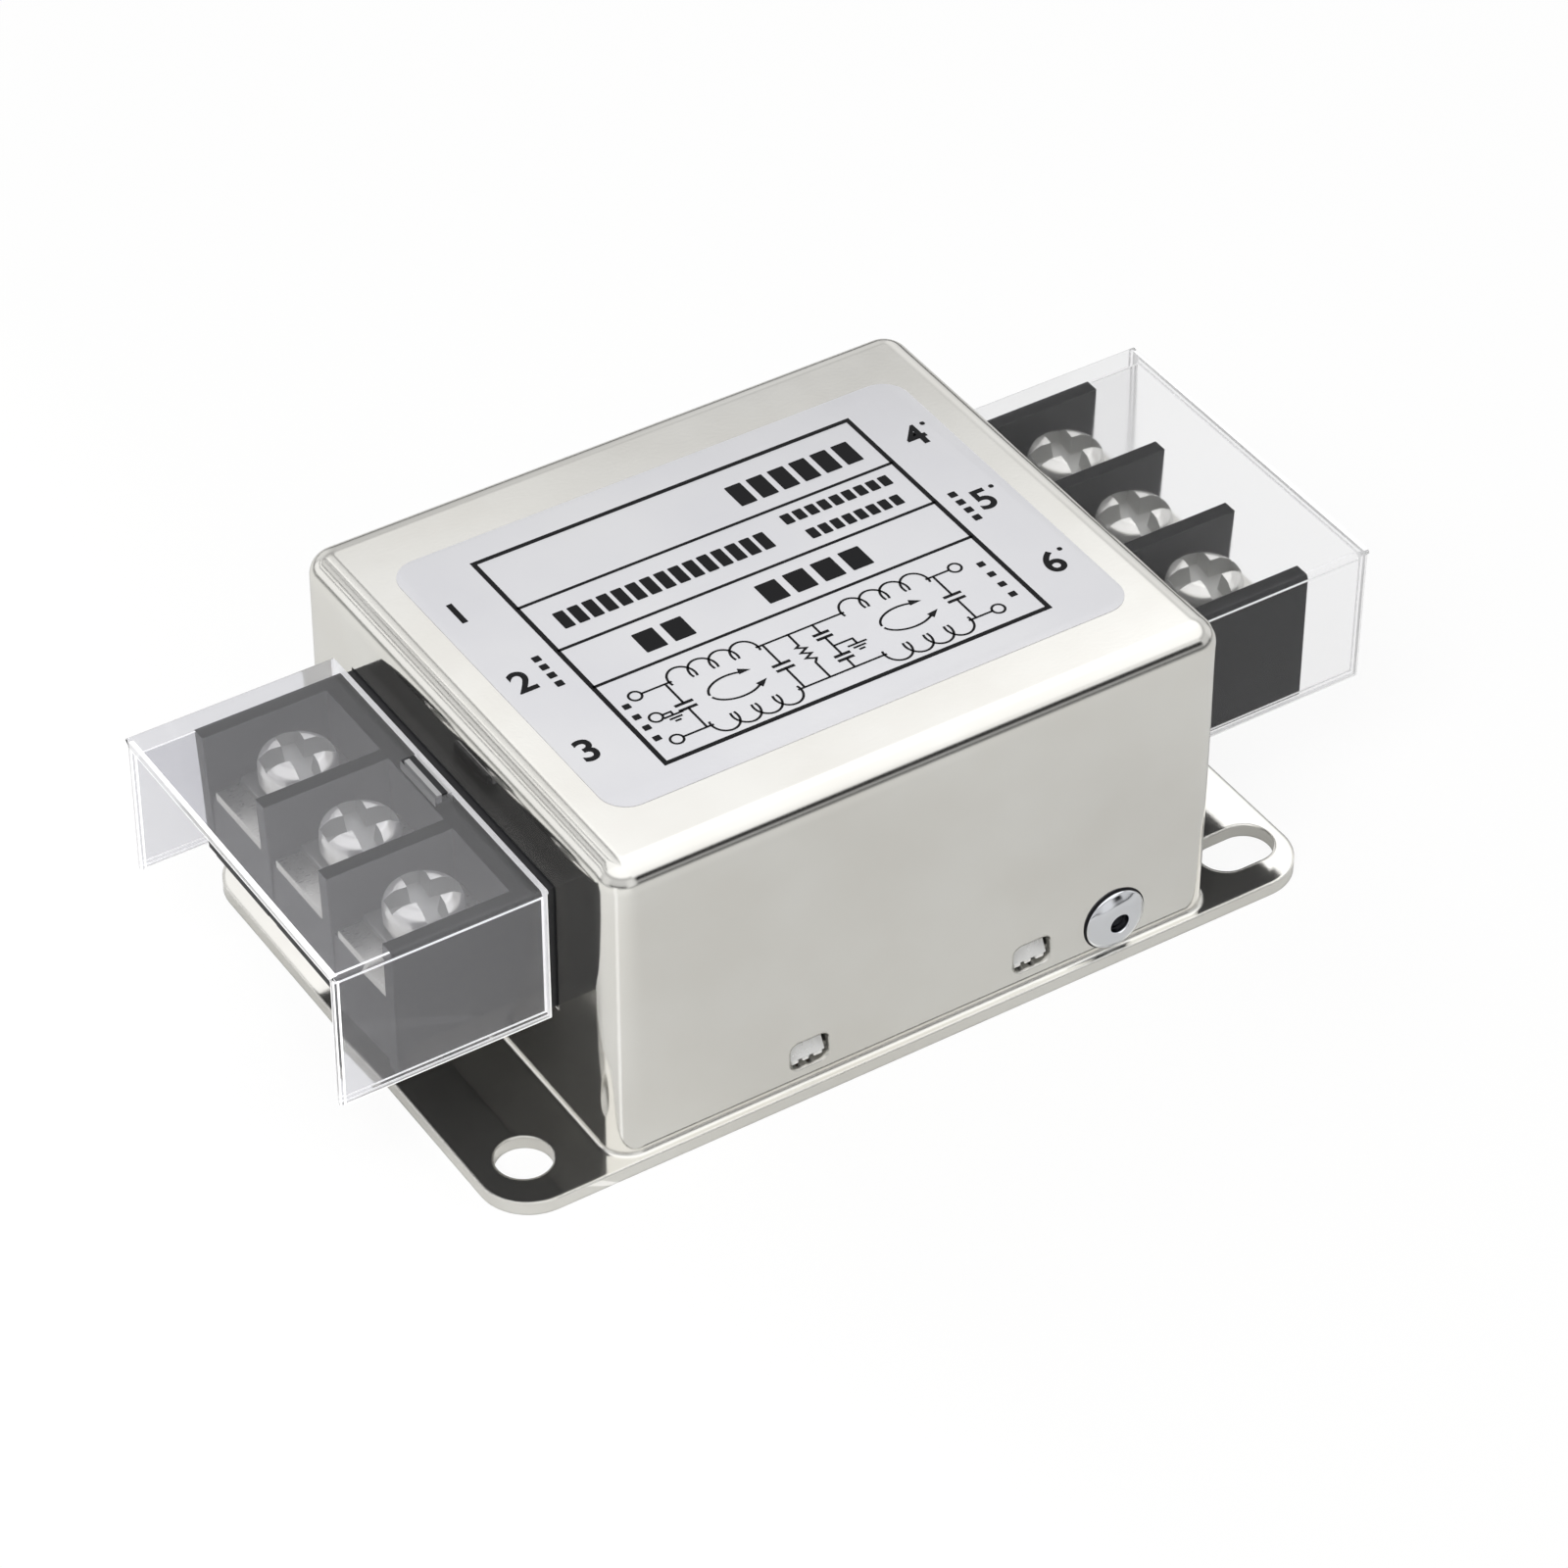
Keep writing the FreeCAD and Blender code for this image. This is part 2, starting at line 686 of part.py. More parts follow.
# Clear cover: a roof and two side walls, open at the outer end and below, with a narrow
# window for the catch near the inner end of the roof
def make_cover(end, turn):
    body = new_body(f"{end}_cover")
    sketch = new_sketch(body, "YZ_Plane", "cover_x")
    outer = "cover_half_width"
    inner = "cover_half_inside"
    polygon(sketch, [
        (f"-{outer}", "block_level"), (f"-{inner}", "block_level"), (f"-{inner}", "block_top"),
        (inner, "block_top"), (inner, "block_level"), (outer, "block_level"),
        (outer, "cover_top"), (f"-{outer}", "cover_top"),
    ])
    shell = pad(body, sketch, "cover_length")
    top = number("cover_top")
    half = number("cover_half_width")

    def roof_edge(p, b):
        return along_x(b) and near(p.z, top) and near(abs(p.y), half)

    fillet(body, shell, roof_edge, "cover_edge_radius")
    sketch = new_sketch(body, "XY_Plane", "cover_top")
    rectangle(sketch, "cover_x + cover_web", "cover_x + cover_notch_depth",
              "-cover_notch_width / 2", "cover_notch_width / 2")
    pocket(body, sketch, "cover_wall")
    place(body, turn=turn)


# Circuit board with its slots and lead holes
def make_board():
    body = new_body("circuit_board")
    sketch = new_sketch(body, "XY_Plane", "board_level")
    centred(sketch, "board_length", "board_width")
    for side in ("-1", "1"):
        for pole in ("-1", "0", "1"):
            centred(sketch, "plate_sheet + 2 * hole_gap", "tail_width + 2 * hole_gap",
                    f"{side} * (tail_x - plate_sheet / 2)", f"{pole} * pole_pitch")
    pad(body, sketch, "board_sheet")
    winding_hole = "wire_diameter + 2 * hole_gap"
    for side in ("-1", "1"):
        for half in ("-1", "1"):
            lead_y = f"{half} * winding_lead_y"
            wire_hole(body, f"{side} * choke_place - winding_side", lead_y, winding_hole)
            wire_hole(body, f"{side} * choke_place + winding_far_x", lead_y, winding_hole)
    film_hole = "film_lead_diameter + 2 * hole_gap"
    for stage in ("-1", "0", "1"):
        for half in ("-1", "1"):
            wire_hole(body, f"{stage} * film_place", f"{half} * film_lead_spacing / 2", film_hole)
    small_hole = "small_lead_diameter + 2 * hole_gap"
    for half in ("-1", "1"):
        for side in ("-1", "1"):
            wire_hole(body, f"choke_place + {half} * disc_lead_spacing / 2",
                      f"{side} * disc_place", small_hole)
        wire_hole(body, f"-choke_place + {half} * resistor_lead_spacing / 2", "-disc_place", small_hole)


# Insulating sheet on the closing plate, under the board
def make_liner():
    liner = doc.addObject("Part::Box", "insulating_liner")
    liner.Label = "insulating_liner"
    bind(liner, Length="liner_length", Width="liner_width", Height="liner_sheet")
    place(liner, "-liner_length / 2", "-liner_width / 2", "base_top")


# Ring core of one choke, its axis along X
def make_core(name, side):
    body = new_body(name)
    sketch = new_sketch(body, "YZ_Plane")
    circle(sketch, "0", "0", "core_diameter")
    circle(sketch, "0", "0", "core_bore")
    pad(body, sketch, "core_width", both_ways=True)
    place(body, f"{side} * choke_place", "0", "choke_level")


def swept_wire(points, diameter):
    """A fine wire along straight runs with mitred corners; it starts along Z."""
    corners = [points[0] + FreeCAD.Vector(x, y, 0) for x, y in wire_outline(diameter)]
    section = Part.makePolygon(corners + corners[:1])
    return Part.makePolygon(points).makePipeShell([section], True, False, 1)


def solid_node(name, shape):
    piece = doc.addObject("Part::Feature", name)
    piece.Shape = shape
    piece.Label = name
    return piece


def winding_points(centre_x, half):
    """The run of one winding: up from the board, round the core turn by turn, and down."""
    outer = number("winding_outer")
    inner = number("winding_inner")
    side = number("winding_side")
    level = number("choke_level")
    end = number("lead_end")
    spread = math.radians(number("winding_half_angle"))
    turns = round(number("winding_turns"))
    corners = [(-side, outer), (side, outer), (side, inner), (-side, inner)]
    steps = 4 * turns + 1
    points = []
    for step in range(steps + 1):
        x, radius = corners[step % 4]
        angle = -spread + 2 * spread * step / steps
        points.append(FreeCAD.Vector(centre_x + x, half * radius * math.cos(angle),
                                     level + radius * math.sin(angle)))
    far = FreeCAD.Vector(centre_x + number("winding_far_x"), points[-1].y, points[-1].z)
    start = FreeCAD.Vector(points[0].x, points[0].y, end)
    return [start] + points[:-1] + [far, FreeCAD.Vector(far.x, far.y, end)]


def make_windings(name, side):
    centre = number(f"{side} * choke_place")
    wires = [swept_wire(winding_points(centre, half), number("wire_diameter")) for half in (-1, 1)]
    solid_node(name, Part.makeCompound(wires))


# Boxed film capacitor standing across the board
def make_film_capacitor(name, stage):
    body = new_body(name)
    sketch = new_sketch(body, "XY_Plane")
    centred(sketch, "film_width", "film_length")
    pad(body, sketch, "film_height")
    place(body, f"{stage} * film_place", "0", "board_top")


def make_straight_lead(name, x, y, diameter, top):
    lead = doc.addObject("Part::Prism", name)
    lead.Polygon = WIRE_SIDES
    bind(lead, Circumradius=f"({diameter}) / 2 / cos(180 deg / {WIRE_SIDES})", Height=f"({top}) - lead_end")
    place(lead, x, y, "lead_end")
    return lead


def make_film_leads():
    leads = []
    for stage in ("-1", "0", "1"):
        for half in ("-1", "1"):
            leads.append(make_straight_lead("film_lead", f"{stage} * film_place",
                                            f"{half} * film_lead_spacing / 2",
                                            "film_lead_diameter", "board_top"))
    join("film_capacitor_leads", leads)


# Coated disc capacitor, its skirt flat where the leads come out
def make_disc_capacitor(name, side):
    body = new_body(name)
    sketch = new_sketch(body, "XZ_Plane")
    circle(sketch, "0", "0", "disc_diameter")
    pad(body, sketch, "disc_width", both_ways=True)
    sketch = new_sketch(body, "XZ_Plane")
    half = "(disc_lead_spacing / 2 + disc_skirt)"
    rectangle(sketch, f"-{half}", half, "-disc_diameter / 2", "0")
    pad(body, sketch, "disc_skirt_width", both_ways=True)
    place(body, "choke_place", f"{side} * disc_place", "disc_level")


def make_disc_leads():
    leads = []
    for side in ("-1", "1"):
        for half in ("-1", "1"):
            leads.append(make_straight_lead("disc_lead", f"choke_place + {half} * disc_lead_spacing / 2",
                                            f"{side} * disc_place", "small_lead_diameter",
                                            "board_top + disc_lift"))
    join("disc_capacitor_leads", leads)


# Axial resistor lying on the board, its leads bent down
def make_resistor():
    body = new_body("bleed_resistor")
    sketch = new_sketch(body, "YZ_Plane")
    circle(sketch, "0", "0", "resistor_diameter")
    pad(body, sketch, "resistor_length", both_ways=True)
    place(body, "-choke_place", "-disc_place", "resistor_level")
    leads = []
    y = number("-disc_place")
    level = number("resistor_level")
    for half in (-1, 1):
        out = number(f"-choke_place + {half} * resistor_lead_spacing / 2")
        inside = number(f"-choke_place + {half} * resistor_length / 2")
        run = [FreeCAD.Vector(out, y, number("lead_end")), FreeCAD.Vector(out, y, level),
               FreeCAD.Vector(inside, y, level)]
        leads.append(swept_wire(run, number("small_lead_diameter")))
    solid_node("resistor_leads", Part.makeCompound(leads))


# Earth strap: from the middle terminal plate up to the inside of the roof
def make_strap(end, turn):
    body = new_body(f"{end}_earth_strap")
    sketch = new_sketch(body, "XZ_Plane")
    toe = "tail_x - plate_sheet"
    polygon(sketch, [
        (toe, "plate_top"), ("tail_x", "plate_top"), ("tail_x", "inner_top"),
        ("tail_x - strap_foot", "inner_top"), ("tail_x - strap_foot", "inner_top - strap_sheet"),
        ("tail_x - strap_sheet", "inner_top - strap_sheet"),
        ("tail_x - strap_sheet", "plate_top + strap_sheet"), (toe, "plate_top + strap_sheet"),
    ])
    pad(body, sketch, "strap_width", both_ways=True)
    place(body, turn=turn)


make_case()
make_base()
make_rivets()
make_label()
for end, turn in (("line", 180), ("load", 0)):
    make_block(end, turn)
    make_plates(end, turn)
    make_washers(end, turn)
    make_screws(end, turn)
    make_cover(end, turn)
    make_strap(end, turn)
make_board()
make_liner()
for end, side in (("line", "-1"), ("load", "1")):
    make_core(f"{end}_choke_core", side)
    make_windings(f"{end}_choke_windings", side)
for name, stage in (("line", "-1"), ("middle", "0"), ("load", "1")):
    make_film_capacitor(f"{name}_film_capacitor", stage)
make_film_leads()
for name, side in (("front", "-1"), ("back", "1")):
    make_disc_capacitor(f"{name}_disc_capacitor", side)
make_disc_leads()
make_resistor()
doc.recompute()

# A node is any finished piece that isn't part of a group
grouped = {piece.Name for group in doc.Objects if group.TypeId == "Part::Compound" for piece in group.Links}
kinds = ("PartDesign::Body", "Part::Compound", "Part::Feature", "Part::Box")
nodes = [thing for thing in doc.Objects if thing.TypeId in kinds and thing.Name not in grouped]

for thing in doc.Objects:
    if "Invalid" in thing.State or "Error" in thing.State:
        raise RuntimeError(f"{thing.Name} failed")
for node in nodes:
    if node.Shape.isNull() or not node.Shape.isValid() or node.Shape.Volume <= 0:
        raise RuntimeError(f"{node.Label} has no sound shape")
for node in nodes:
    node.Shape.exportStep(f"parts/{node.Label}.step")
    print(node.Label, len(node.Shape.Solids), round(node.Shape.Volume, 1))
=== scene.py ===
import math
import bmesh
import bpy
from mathutils import Matrix, Vector


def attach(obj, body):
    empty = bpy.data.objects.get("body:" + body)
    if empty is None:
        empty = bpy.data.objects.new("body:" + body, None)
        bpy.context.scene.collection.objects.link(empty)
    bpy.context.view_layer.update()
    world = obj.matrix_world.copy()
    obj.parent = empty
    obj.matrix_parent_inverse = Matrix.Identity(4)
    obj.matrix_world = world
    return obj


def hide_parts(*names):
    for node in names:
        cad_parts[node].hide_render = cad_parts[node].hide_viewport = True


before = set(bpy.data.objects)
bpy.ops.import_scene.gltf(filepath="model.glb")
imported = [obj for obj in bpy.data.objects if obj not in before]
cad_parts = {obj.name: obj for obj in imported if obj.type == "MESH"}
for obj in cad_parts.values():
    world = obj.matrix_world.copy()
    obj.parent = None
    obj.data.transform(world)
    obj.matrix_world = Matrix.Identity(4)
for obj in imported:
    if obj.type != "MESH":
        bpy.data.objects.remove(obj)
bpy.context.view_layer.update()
MM = 0.001

# Sizes of the solids that the looks are fitted to, in millimetres
CASE_HALF_WIDTH = 27.4
ROOF = 34.6
PLATE_LENGTH = 55.0
PLATE_WIDTH = 40.0
PLATE_SHEET = 0.08
PLATE_CORNER = 2.8
RIVET_PLACE = 21.2
RIVET_LEVEL = 5.0
SCREW_X = 41.9
SCREW_LEVEL = 22.0
POLE_PITCH = 11.3
WINDOW_X = 12.1

# Places by which the copies of the solids are shaped and coloured, in millimetres
BARRIER_EDGE_X = 48.7
BARRIER_FOOT_X = 48.25
BARRIER_FOOT_LEVEL = 13.1
END_BARRIER_Y = -16.0
CATCH_LEVEL = 26.95
CATCH_SPLIT = 35.1
COVER_INNER_X = 34.0
COVER_ROOF_LEVEL = 20.0
COVER_LONG_EDGE = 9.0

# How the solids' facets are joined: a gap in millimetres and angles in degrees
MERGE_GAP = 0.0005
FLAT_ANGLE = 0.4
BROKEN_EDGE_ANGLE = 50.0

# The print's height and line widths and the places of its frame and rows, in millimetres
PRINT_TOP = 34.695
FRAME_LINE = 0.5
ROW_LINE = 0.36
WIRE_LINE = 0.24
FRAME_X = 20.25
FRAME_Y = 16.55
ROWS = (8.84, 1.75, -4.3)
BAR_SHARE = 0.74
CONTACT_RADIUS = 0.62
NUMBER_SIZE = 4.2


# Materials
def shader_of(made):
    return made.node_tree.nodes["Principled BSDF"]


def material(name, color, roughness, metallic=0.0, ior=1.5):
    made = bpy.data.materials.new(name)
    made.use_nodes = True
    shader = shader_of(made)
    shader.inputs["Base Color"].default_value = (*color, 1)
    shader.inputs["Metallic"].default_value = metallic
    shader.inputs["Roughness"].default_value = roughness
    shader.inputs["IOR"].default_value = ior
    return made


def add(made, kind, **values):
    node = made.node_tree.nodes.new(kind)
    for name, value in values.items():
        node.inputs[name.replace("_", " ")].default_value = value
    return node


def link(made, start, end):
    made.node_tree.links.new(start, end)


def object_noise(made, scale, detail=3.0, stretch=(1, 1, 1)):
    """Noise over the piece's own coordinates, which are in metres."""
    place = add(made, "ShaderNodeTexCoord")
    mapping = add(made, "ShaderNodeMapping", Scale=stretch)
    noise = add(made, "ShaderNodeTexNoise", Scale=scale, Detail=detail)
    link(made, place.outputs["Object"], mapping.inputs["Vector"])
    link(made, mapping.outputs["Vector"], noise.inputs["Vector"])
    return noise


def vary_roughness(made, scale, low, high, stretch=(1, 1, 1)):
    noise = object_noise(made, scale, stretch=stretch)
    span = add(made, "ShaderNodeMapRange", From_Min=0.3, From_Max=0.7, To_Min=low, To_Max=high)
    link(made, noise.outputs["Fac"], span.inputs["Value"])
    link(made, span.outputs["Result"], shader_of(made).inputs["Roughness"])


def vary_color(made, scale, first, second, stretch=(1, 1, 1)):
    noise = object_noise(made, scale, stretch=stretch)
    ramp = add(made, "ShaderNodeValToRGB")
    for element, position, color in zip(ramp.color_ramp.elements, (0.35, 0.65), (first, second)):
        element.position = position
        element.color = (*color, 1)
    link(made, noise.outputs["Fac"], ramp.inputs["Fac"])
    link(made, ramp.outputs["Color"], shader_of(made).inputs["Base Color"])


def grain(made, scale, height):
    """Fine unevenness; height in millimetres."""
    noise = object_noise(made, scale, detail=4.0)
    bump = add(made, "ShaderNodeBump", Strength=1.0, Distance=height * MM)
    link(made, noise.outputs["Fac"], bump.inputs["Height"])
    link(made, bump.outputs["Normal"], shader_of(made).inputs["Normal"])


def round_edges(made, radius):
    """Edges that catch the light as if broken by this radius in millimetres."""
    edge = add(made, "ShaderNodeBevel", Radius=radius * MM)
    edge.samples = 6
    start = shader_of(made).inputs["Normal"]
    if start.is_linked:
        start = start.links[0].from_node.inputs["Normal"]
    link(made, edge.outputs["Normal"], start)


def clear_plastic(name, color, roughness, haze, gloss):
    """Thin clear moulding: see-through with a slight haze and a glossy skin."""
    made = material(name, color, roughness=roughness, ior=1.1)
    shader = shader_of(made)
    shader.inputs["Transmission Weight"].default_value = 1 - haze
    shader.inputs["Coat Weight"].default_value = gloss
    shader.inputs["Coat Roughness"].default_value = 0.05
    vary_roughness(made, 200, roughness * 0.85, roughness * 1.15)
    return made


def painted_glow_edge(name, color, glow):
    """Edge of a clear moulding: pale, with a painted glow from emission in place of the light it gathers."""
    made = material(name, color, roughness=0.3, ior=1.45)
    shader = shader_of(made)
    shader.inputs["Emission Color"].default_value = (1, 1, 1, 1)
    shader.inputs["Emission Strength"].default_value = glow
    grain(made, 3000, 0.003)
    return made


nickel = material("bright_nickel", (0.82, 0.81, 0.775), metallic=0.96, roughness=0.08)
vary_roughness(nickel, 260, 0.06, 0.11)
vary_color(nickel, 90, (0.80, 0.785, 0.745), (0.835, 0.825, 0.79))
grain(nickel, 2600, 0.0012)
round_edges(nickel, 0.42)

base_steel = material("satin_steel", (0.93, 0.93, 0.92), metallic=0.45, roughness=0.24)
vary_roughness(base_steel, 500, 0.18, 0.3)
grain(base_steel, 3000, 0.002)

aluminium = material("bright_aluminium", (0.80, 0.815, 0.85), metallic=1.0, roughness=0.16)
vary_roughness(aluminium, 1500, 0.09, 0.16)

# near-black steel for the rivets' mandrels and for a ring at each head's foot: painted shade in the bore and
# a painted shadow line
painted_shade_steel = material("painted_shade_steel", (0.035, 0.035, 0.04), metallic=0.8, roughness=0.5)
grain(painted_shade_steel, 6000, 0.02)

foil = material("plate_foil", (0.73, 0.73, 0.755), roughness=0.42)
vary_roughness(foil, 800, 0.36, 0.48)
vary_color(foil, 60, (0.715, 0.715, 0.745), (0.755, 0.755, 0.775))
grain(foil, 5000, 0.0006)

ink = material("print_black", (0.006, 0.006, 0.007), roughness=0.6, ior=1.25)
grain(ink, 6000, 0.0008)

black_moulding = material("black_moulding", (0.023, 0.023, 0.026), roughness=0.5, ior=1.4)
vary_roughness(black_moulding, 900, 0.45, 0.58)
grain(black_moulding, 4200, 0.004)

# paler grey for the outer half of each cover catch: a painted highlight on the black moulding
catch_painted_highlight = material("catch_painted_highlight", (0.42, 0.42, 0.43), roughness=0.2)
vary_roughness(catch_painted_highlight, 900, 0.16, 0.26)

tinned = material("tinned_plate", (0.62, 0.61, 0.58), metallic=1.0, roughness=0.3)
vary_roughness(tinned, 1200, 0.24, 0.4, stretch=(1, 6, 6))
grain(tinned, 5000, 0.0015)

screw_metal = material("zinc_plate", (0.95, 0.94, 0.91), metallic=0.55, roughness=0.24)
vary_roughness(screw_metal, 1400, 0.17, 0.25)
grain(screw_metal, 5200, 0.0015)

# darker zinc for the screws' cross recesses: painted shade
painted_recess_shade = material("zinc_painted_recess_shade", (0.52, 0.52, 0.505), metallic=0.5, roughness=0.4)
vary_roughness(painted_recess_shade, 1400, 0.36, 0.5)

washer_metal = material("dull_zinc", (0.30, 0.30, 0.29), metallic=1.0, roughness=0.4)
vary_roughness(washer_metal, 1400, 0.34, 0.5)

clear_hazy = clear_plastic("clear_plastic_hazy", (0.80, 0.80, 0.83), 0.11, 0.085, 0.6)
clear = clear_plastic("clear_plastic", (0.90, 0.90, 0.905), 0.2, 0.012, 0.12)
clear_end = clear_plastic("clear_plastic_end", (0.97, 0.97, 0.975), 0.4, 0.45, 0.4)
# the covers' edges glow by emission: painted light
painted_glow_hazy = painted_glow_edge("clear_plastic_edge_hazy", (0.98, 0.98, 0.985), 0.45)
painted_glow_clear = painted_glow_edge("clear_plastic_painted_glow", (0.88, 0.88, 0.885), 0.2)

laminate = material("board_laminate", (0.10, 0.28, 0.13), roughness=0.5)
vary_color(laminate, 900, (0.09, 0.25, 0.115), (0.12, 0.31, 0.15), stretch=(1, 4, 1))
fibre_sheet = material("fibre_sheet", (0.78, 0.75, 0.66), roughness=0.7)
vary_color(fibre_sheet, 1500, (0.74, 0.71, 0.62), (0.81, 0.78, 0.69))
ferrite = material("coated_ferrite", (0.09, 0.26, 0.15), roughness=0.5)
vary_roughness(ferrite, 900, 0.42, 0.6)
enamel = material("enamelled_copper", (0.62, 0.27, 0.11), metallic=1.0, roughness=0.3)
vary_color(enamel, 500, (0.58, 0.24, 0.095), (0.67, 0.31, 0.13))
film_box = material("film_box", (0.86, 0.60, 0.08), roughness=0.4)
vary_roughness(film_box, 1000, 0.34, 0.48)
disc_coat = material("disc_coat", (0.05, 0.20, 0.55), roughness=0.3)
vary_roughness(disc_coat, 700, 0.24, 0.4)
resistor_coat = material("resistor_coat", (0.68, 0.58, 0.38), roughness=0.35)
vary_roughness(resistor_coat, 900, 0.3, 0.42)


# Shaping helpers; lengths in millimetres
def finish_mesh(bm, name, made, smooth_angle=35.0):
    bmesh.ops.remove_doubles(bm, verts=bm.verts, dist=MERGE_GAP * MM)
    bmesh.ops.recalc_face_normals(bm, faces=bm.faces)
    mesh = bpy.data.meshes.new(name)
    bm.to_mesh(mesh)
    bm.free()
    piece = bpy.data.objects.new(name, mesh)
    bpy.context.collection.objects.link(piece)
    mesh.materials.append(made)
    mesh.shade_smooth()
    mesh.set_sharp_from_angle(angle=math.radians(smooth_angle))
    return piece


def revolve_into(bm, profile, steps):
    """Surface of revolution about Z from (radius, height) pairs."""
    rings = []
    for radius, height in profile:
        if radius < 1e-6:
            rings.append([bm.verts.new((0, 0, height * MM))])
            continue
        rings.append([
            bm.verts.new((radius * MM * math.cos(2 * math.pi * i / steps),
                          radius * MM * math.sin(2 * math.pi * i / steps), height * MM))
            for i in range(steps)
        ])
    for a, b in zip(rings, rings[1:]):
        for i in range(steps):
            j = (i + 1) % steps
            corners = []
            for vert in (a[i % len(a)], a[j % len(a)], b[j % len(b)], b[i % len(b)]):
                if vert not in corners:
                    corners.append(vert)
            if len(corners) > 2:
                bm.faces.new(corners)


def rounded_profile(corners, steps):
    """A profile of (radius, height, round) corners with arcs put in; a round of 0 keeps the corner."""
    made = []
    for i, (radius, height, size) in enumerate(corners):
        if size == 0 or i in (0, len(corners) - 1):
            made.append((radius, height))
            continue
        here = Vector((radius, height))
        back = (Vector(corners[i - 1][:2]) - here).normalized()
        on = (Vector(corners[i + 1][:2]) - here).normalized()
        half = back.angle(on) / 2
        reach = size / math.tan(half)
        centre = here + (back + on).normalized() * (size / math.sin(half))
        start = here + back * reach - centre
        end = here + on * reach - centre
        for k in range(steps + 1):
            way = start.lerp(end, k / steps).normalized() * size
            made.append(tuple(centre + way))
    return made


def rounded_outline(length, width, corner, steps=10):
    points = []
    for side_x, side_y, start in ((1, 1, 0), (-1, 1, 90), (-1, -1, 180), (1, -1, 270)):
        for k in range(steps + 1):
            angle = math.radians(start + 90 * k / steps)
            points.append((side_x * (length / 2 - corner) + corner * math.cos(angle),
                           side_y * (width / 2 - corner) + corner * math.sin(angle)))
    return points


def cut(piece, cutter):
    """Take one mesh out of another and keep the result in the first."""
    tool = piece.modifiers.new("cut", "BOOLEAN")
    tool.object = cutter
    tool.operation = "DIFFERENCE"
    tool.solver = "EXACT"
    bpy.context.view_layer.update()
    graph = bpy.context.evaluated_depsgraph_get()
    result = bpy.data.meshes.new_from_object(piece.evaluated_get(graph))
    piece.modifiers.clear()
    old = piece.data
    piece.data = result
    bpy.data.meshes.remove(old)
    bpy.data.objects.remove(cutter)


def soften(piece, width, segments, angle):
    """Small rounding of the edges between faces that meet at an angle."""
    bevel = piece.modifiers.new("edge", "BEVEL")
    bevel.width = width * MM
    bevel.segments = segments
    bevel.limit_method = "ANGLE"
    bevel.angle_limit = math.radians(angle)
    bevel.harden_normals = True
    bevel.use_clamp_overlap = True


def copy_solid(node):
    """The mesh of a solid with its facets joined."""
    bm = bmesh.new()
    bm.from_mesh(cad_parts[node].data)
    bmesh.ops.remove_doubles(bm, verts=bm.verts, dist=MERGE_GAP * MM)
    bmesh.ops.dissolve_limit(bm, angle_limit=math.radians(FLAT_ANGLE), verts=bm.verts, edges=bm.edges)
    return bm


def split_faces(bm):
    """A face round a hole stays whole only as triangles."""
    bmesh.ops.triangulate(bm, faces=[face for face in bm.faces if len(face.verts) > 4])


def refined(node, made, width, shape=None):
    """A copy of a solid with its edges broken, which stands for the solid."""
    bm = copy_solid(node)
    if shape is not None:
        shape(bm)
    split_faces(bm)
    piece = finish_mesh(bm, f"{node}_dressed", made, BROKEN_EDGE_ANGLE)
    soften(piece, width, 2, BROKEN_EDGE_ANGLE)
    even = piece.modifiers.new("normals", "WEIGHTED_NORMAL")
    even.keep_sharp = True
    even.weight = 80
    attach(piece, "root")
    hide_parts(node)
    return piece


def dress(node, made):
    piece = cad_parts[node]
    if piece.material_slots:
        for held in piece.material_slots:
            held.material = made
    else:
        piece.data.materials.append(made)


def shape_block(bm):
    """The barriers' outer edges lean inwards towards the bottom; the cover's catch is cut in two halves so
    that its outer half can take a painted highlight.
    """
    for vert in bm.verts:
        place = vert.co / MM
        outer = abs(place.x) > BARRIER_EDGE_X and place.z < BARRIER_FOOT_LEVEL
        if outer and place.y > END_BARRIER_Y:
            vert.co.x = math.copysign(BARRIER_FOOT_X * MM, place.x)
    catch = [face for face in bm.faces if face.calc_center_median().z > CATCH_LEVEL * MM]
    around = dict.fromkeys(item for face in catch for item in (*face.verts, *face.edges, face))
    side = math.copysign(CATCH_SPLIT * MM, catch[0].calc_center_median().x)
    bmesh.ops.bisect_plane(bm, geom=list(around), plane_co=(side, 0, 0), plane_no=(1, 0, 0))


def make_cover(end, plastic, painted_glow_made):
    """Clear cover; each long edge is two pale bands with a painted glow, and a thin clear one between them.
    """
    bm = copy_solid(f"{end}_cover")
    split_faces(bm)
    # materials by number: 0 clear, 1 pale edge with painted glow, 2 cloudy cut end
    for face in bm.faces:
        middle = face.calc_center_median() / MM
        below = face.normal.z < -0.9 and middle.z < COVER_ROOF_LEVEL
        face.material_index = 2 if abs(face.normal.x) > 0.9 or below else 0
        if abs(face.normal.z) < 0.1 and abs(middle.x) < COVER_INNER_X:
            face.material_index = 1
    # the outer edges first, then the inner rim
    for past, width, steps in ((COVER_INNER_X, 0.42, 3), (0.0, 0.2, 1)):
        edges = [edge for edge in bm.edges
                 if len(edge.link_faces) == 2 and edge.calc_length() > COVER_LONG_EDGE * MM
                 and max(abs(vert.co.x) for vert in edge.verts) > past * MM
                 and edge.calc_face_angle() > math.radians(BROKEN_EDGE_ANGLE)]
        bmesh.ops.bevel(bm, geom=edges, offset=width * MM, offset_type="OFFSET", segments=steps, profile=0.5,
                        affect="EDGES", clamp_overlap=False, material=1)
    # the middle one of three bands faces halfway between two sides
    for face in bm.faces:
        if face.material_index == 1 and sorted(abs(part) for part in face.normal)[1] > 0.62:
            face.material_index = 0
    piece = finish_mesh(bm, f"{end}_cover_dressed", plastic, 20)
    for made in (painted_glow_made, clear_end):
        piece.data.materials.append(made)
    # the clear moulding leaves no image in the can's polished wall
    piece.visible_glossy = False
    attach(piece, "root")
    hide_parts(f"{end}_cover")


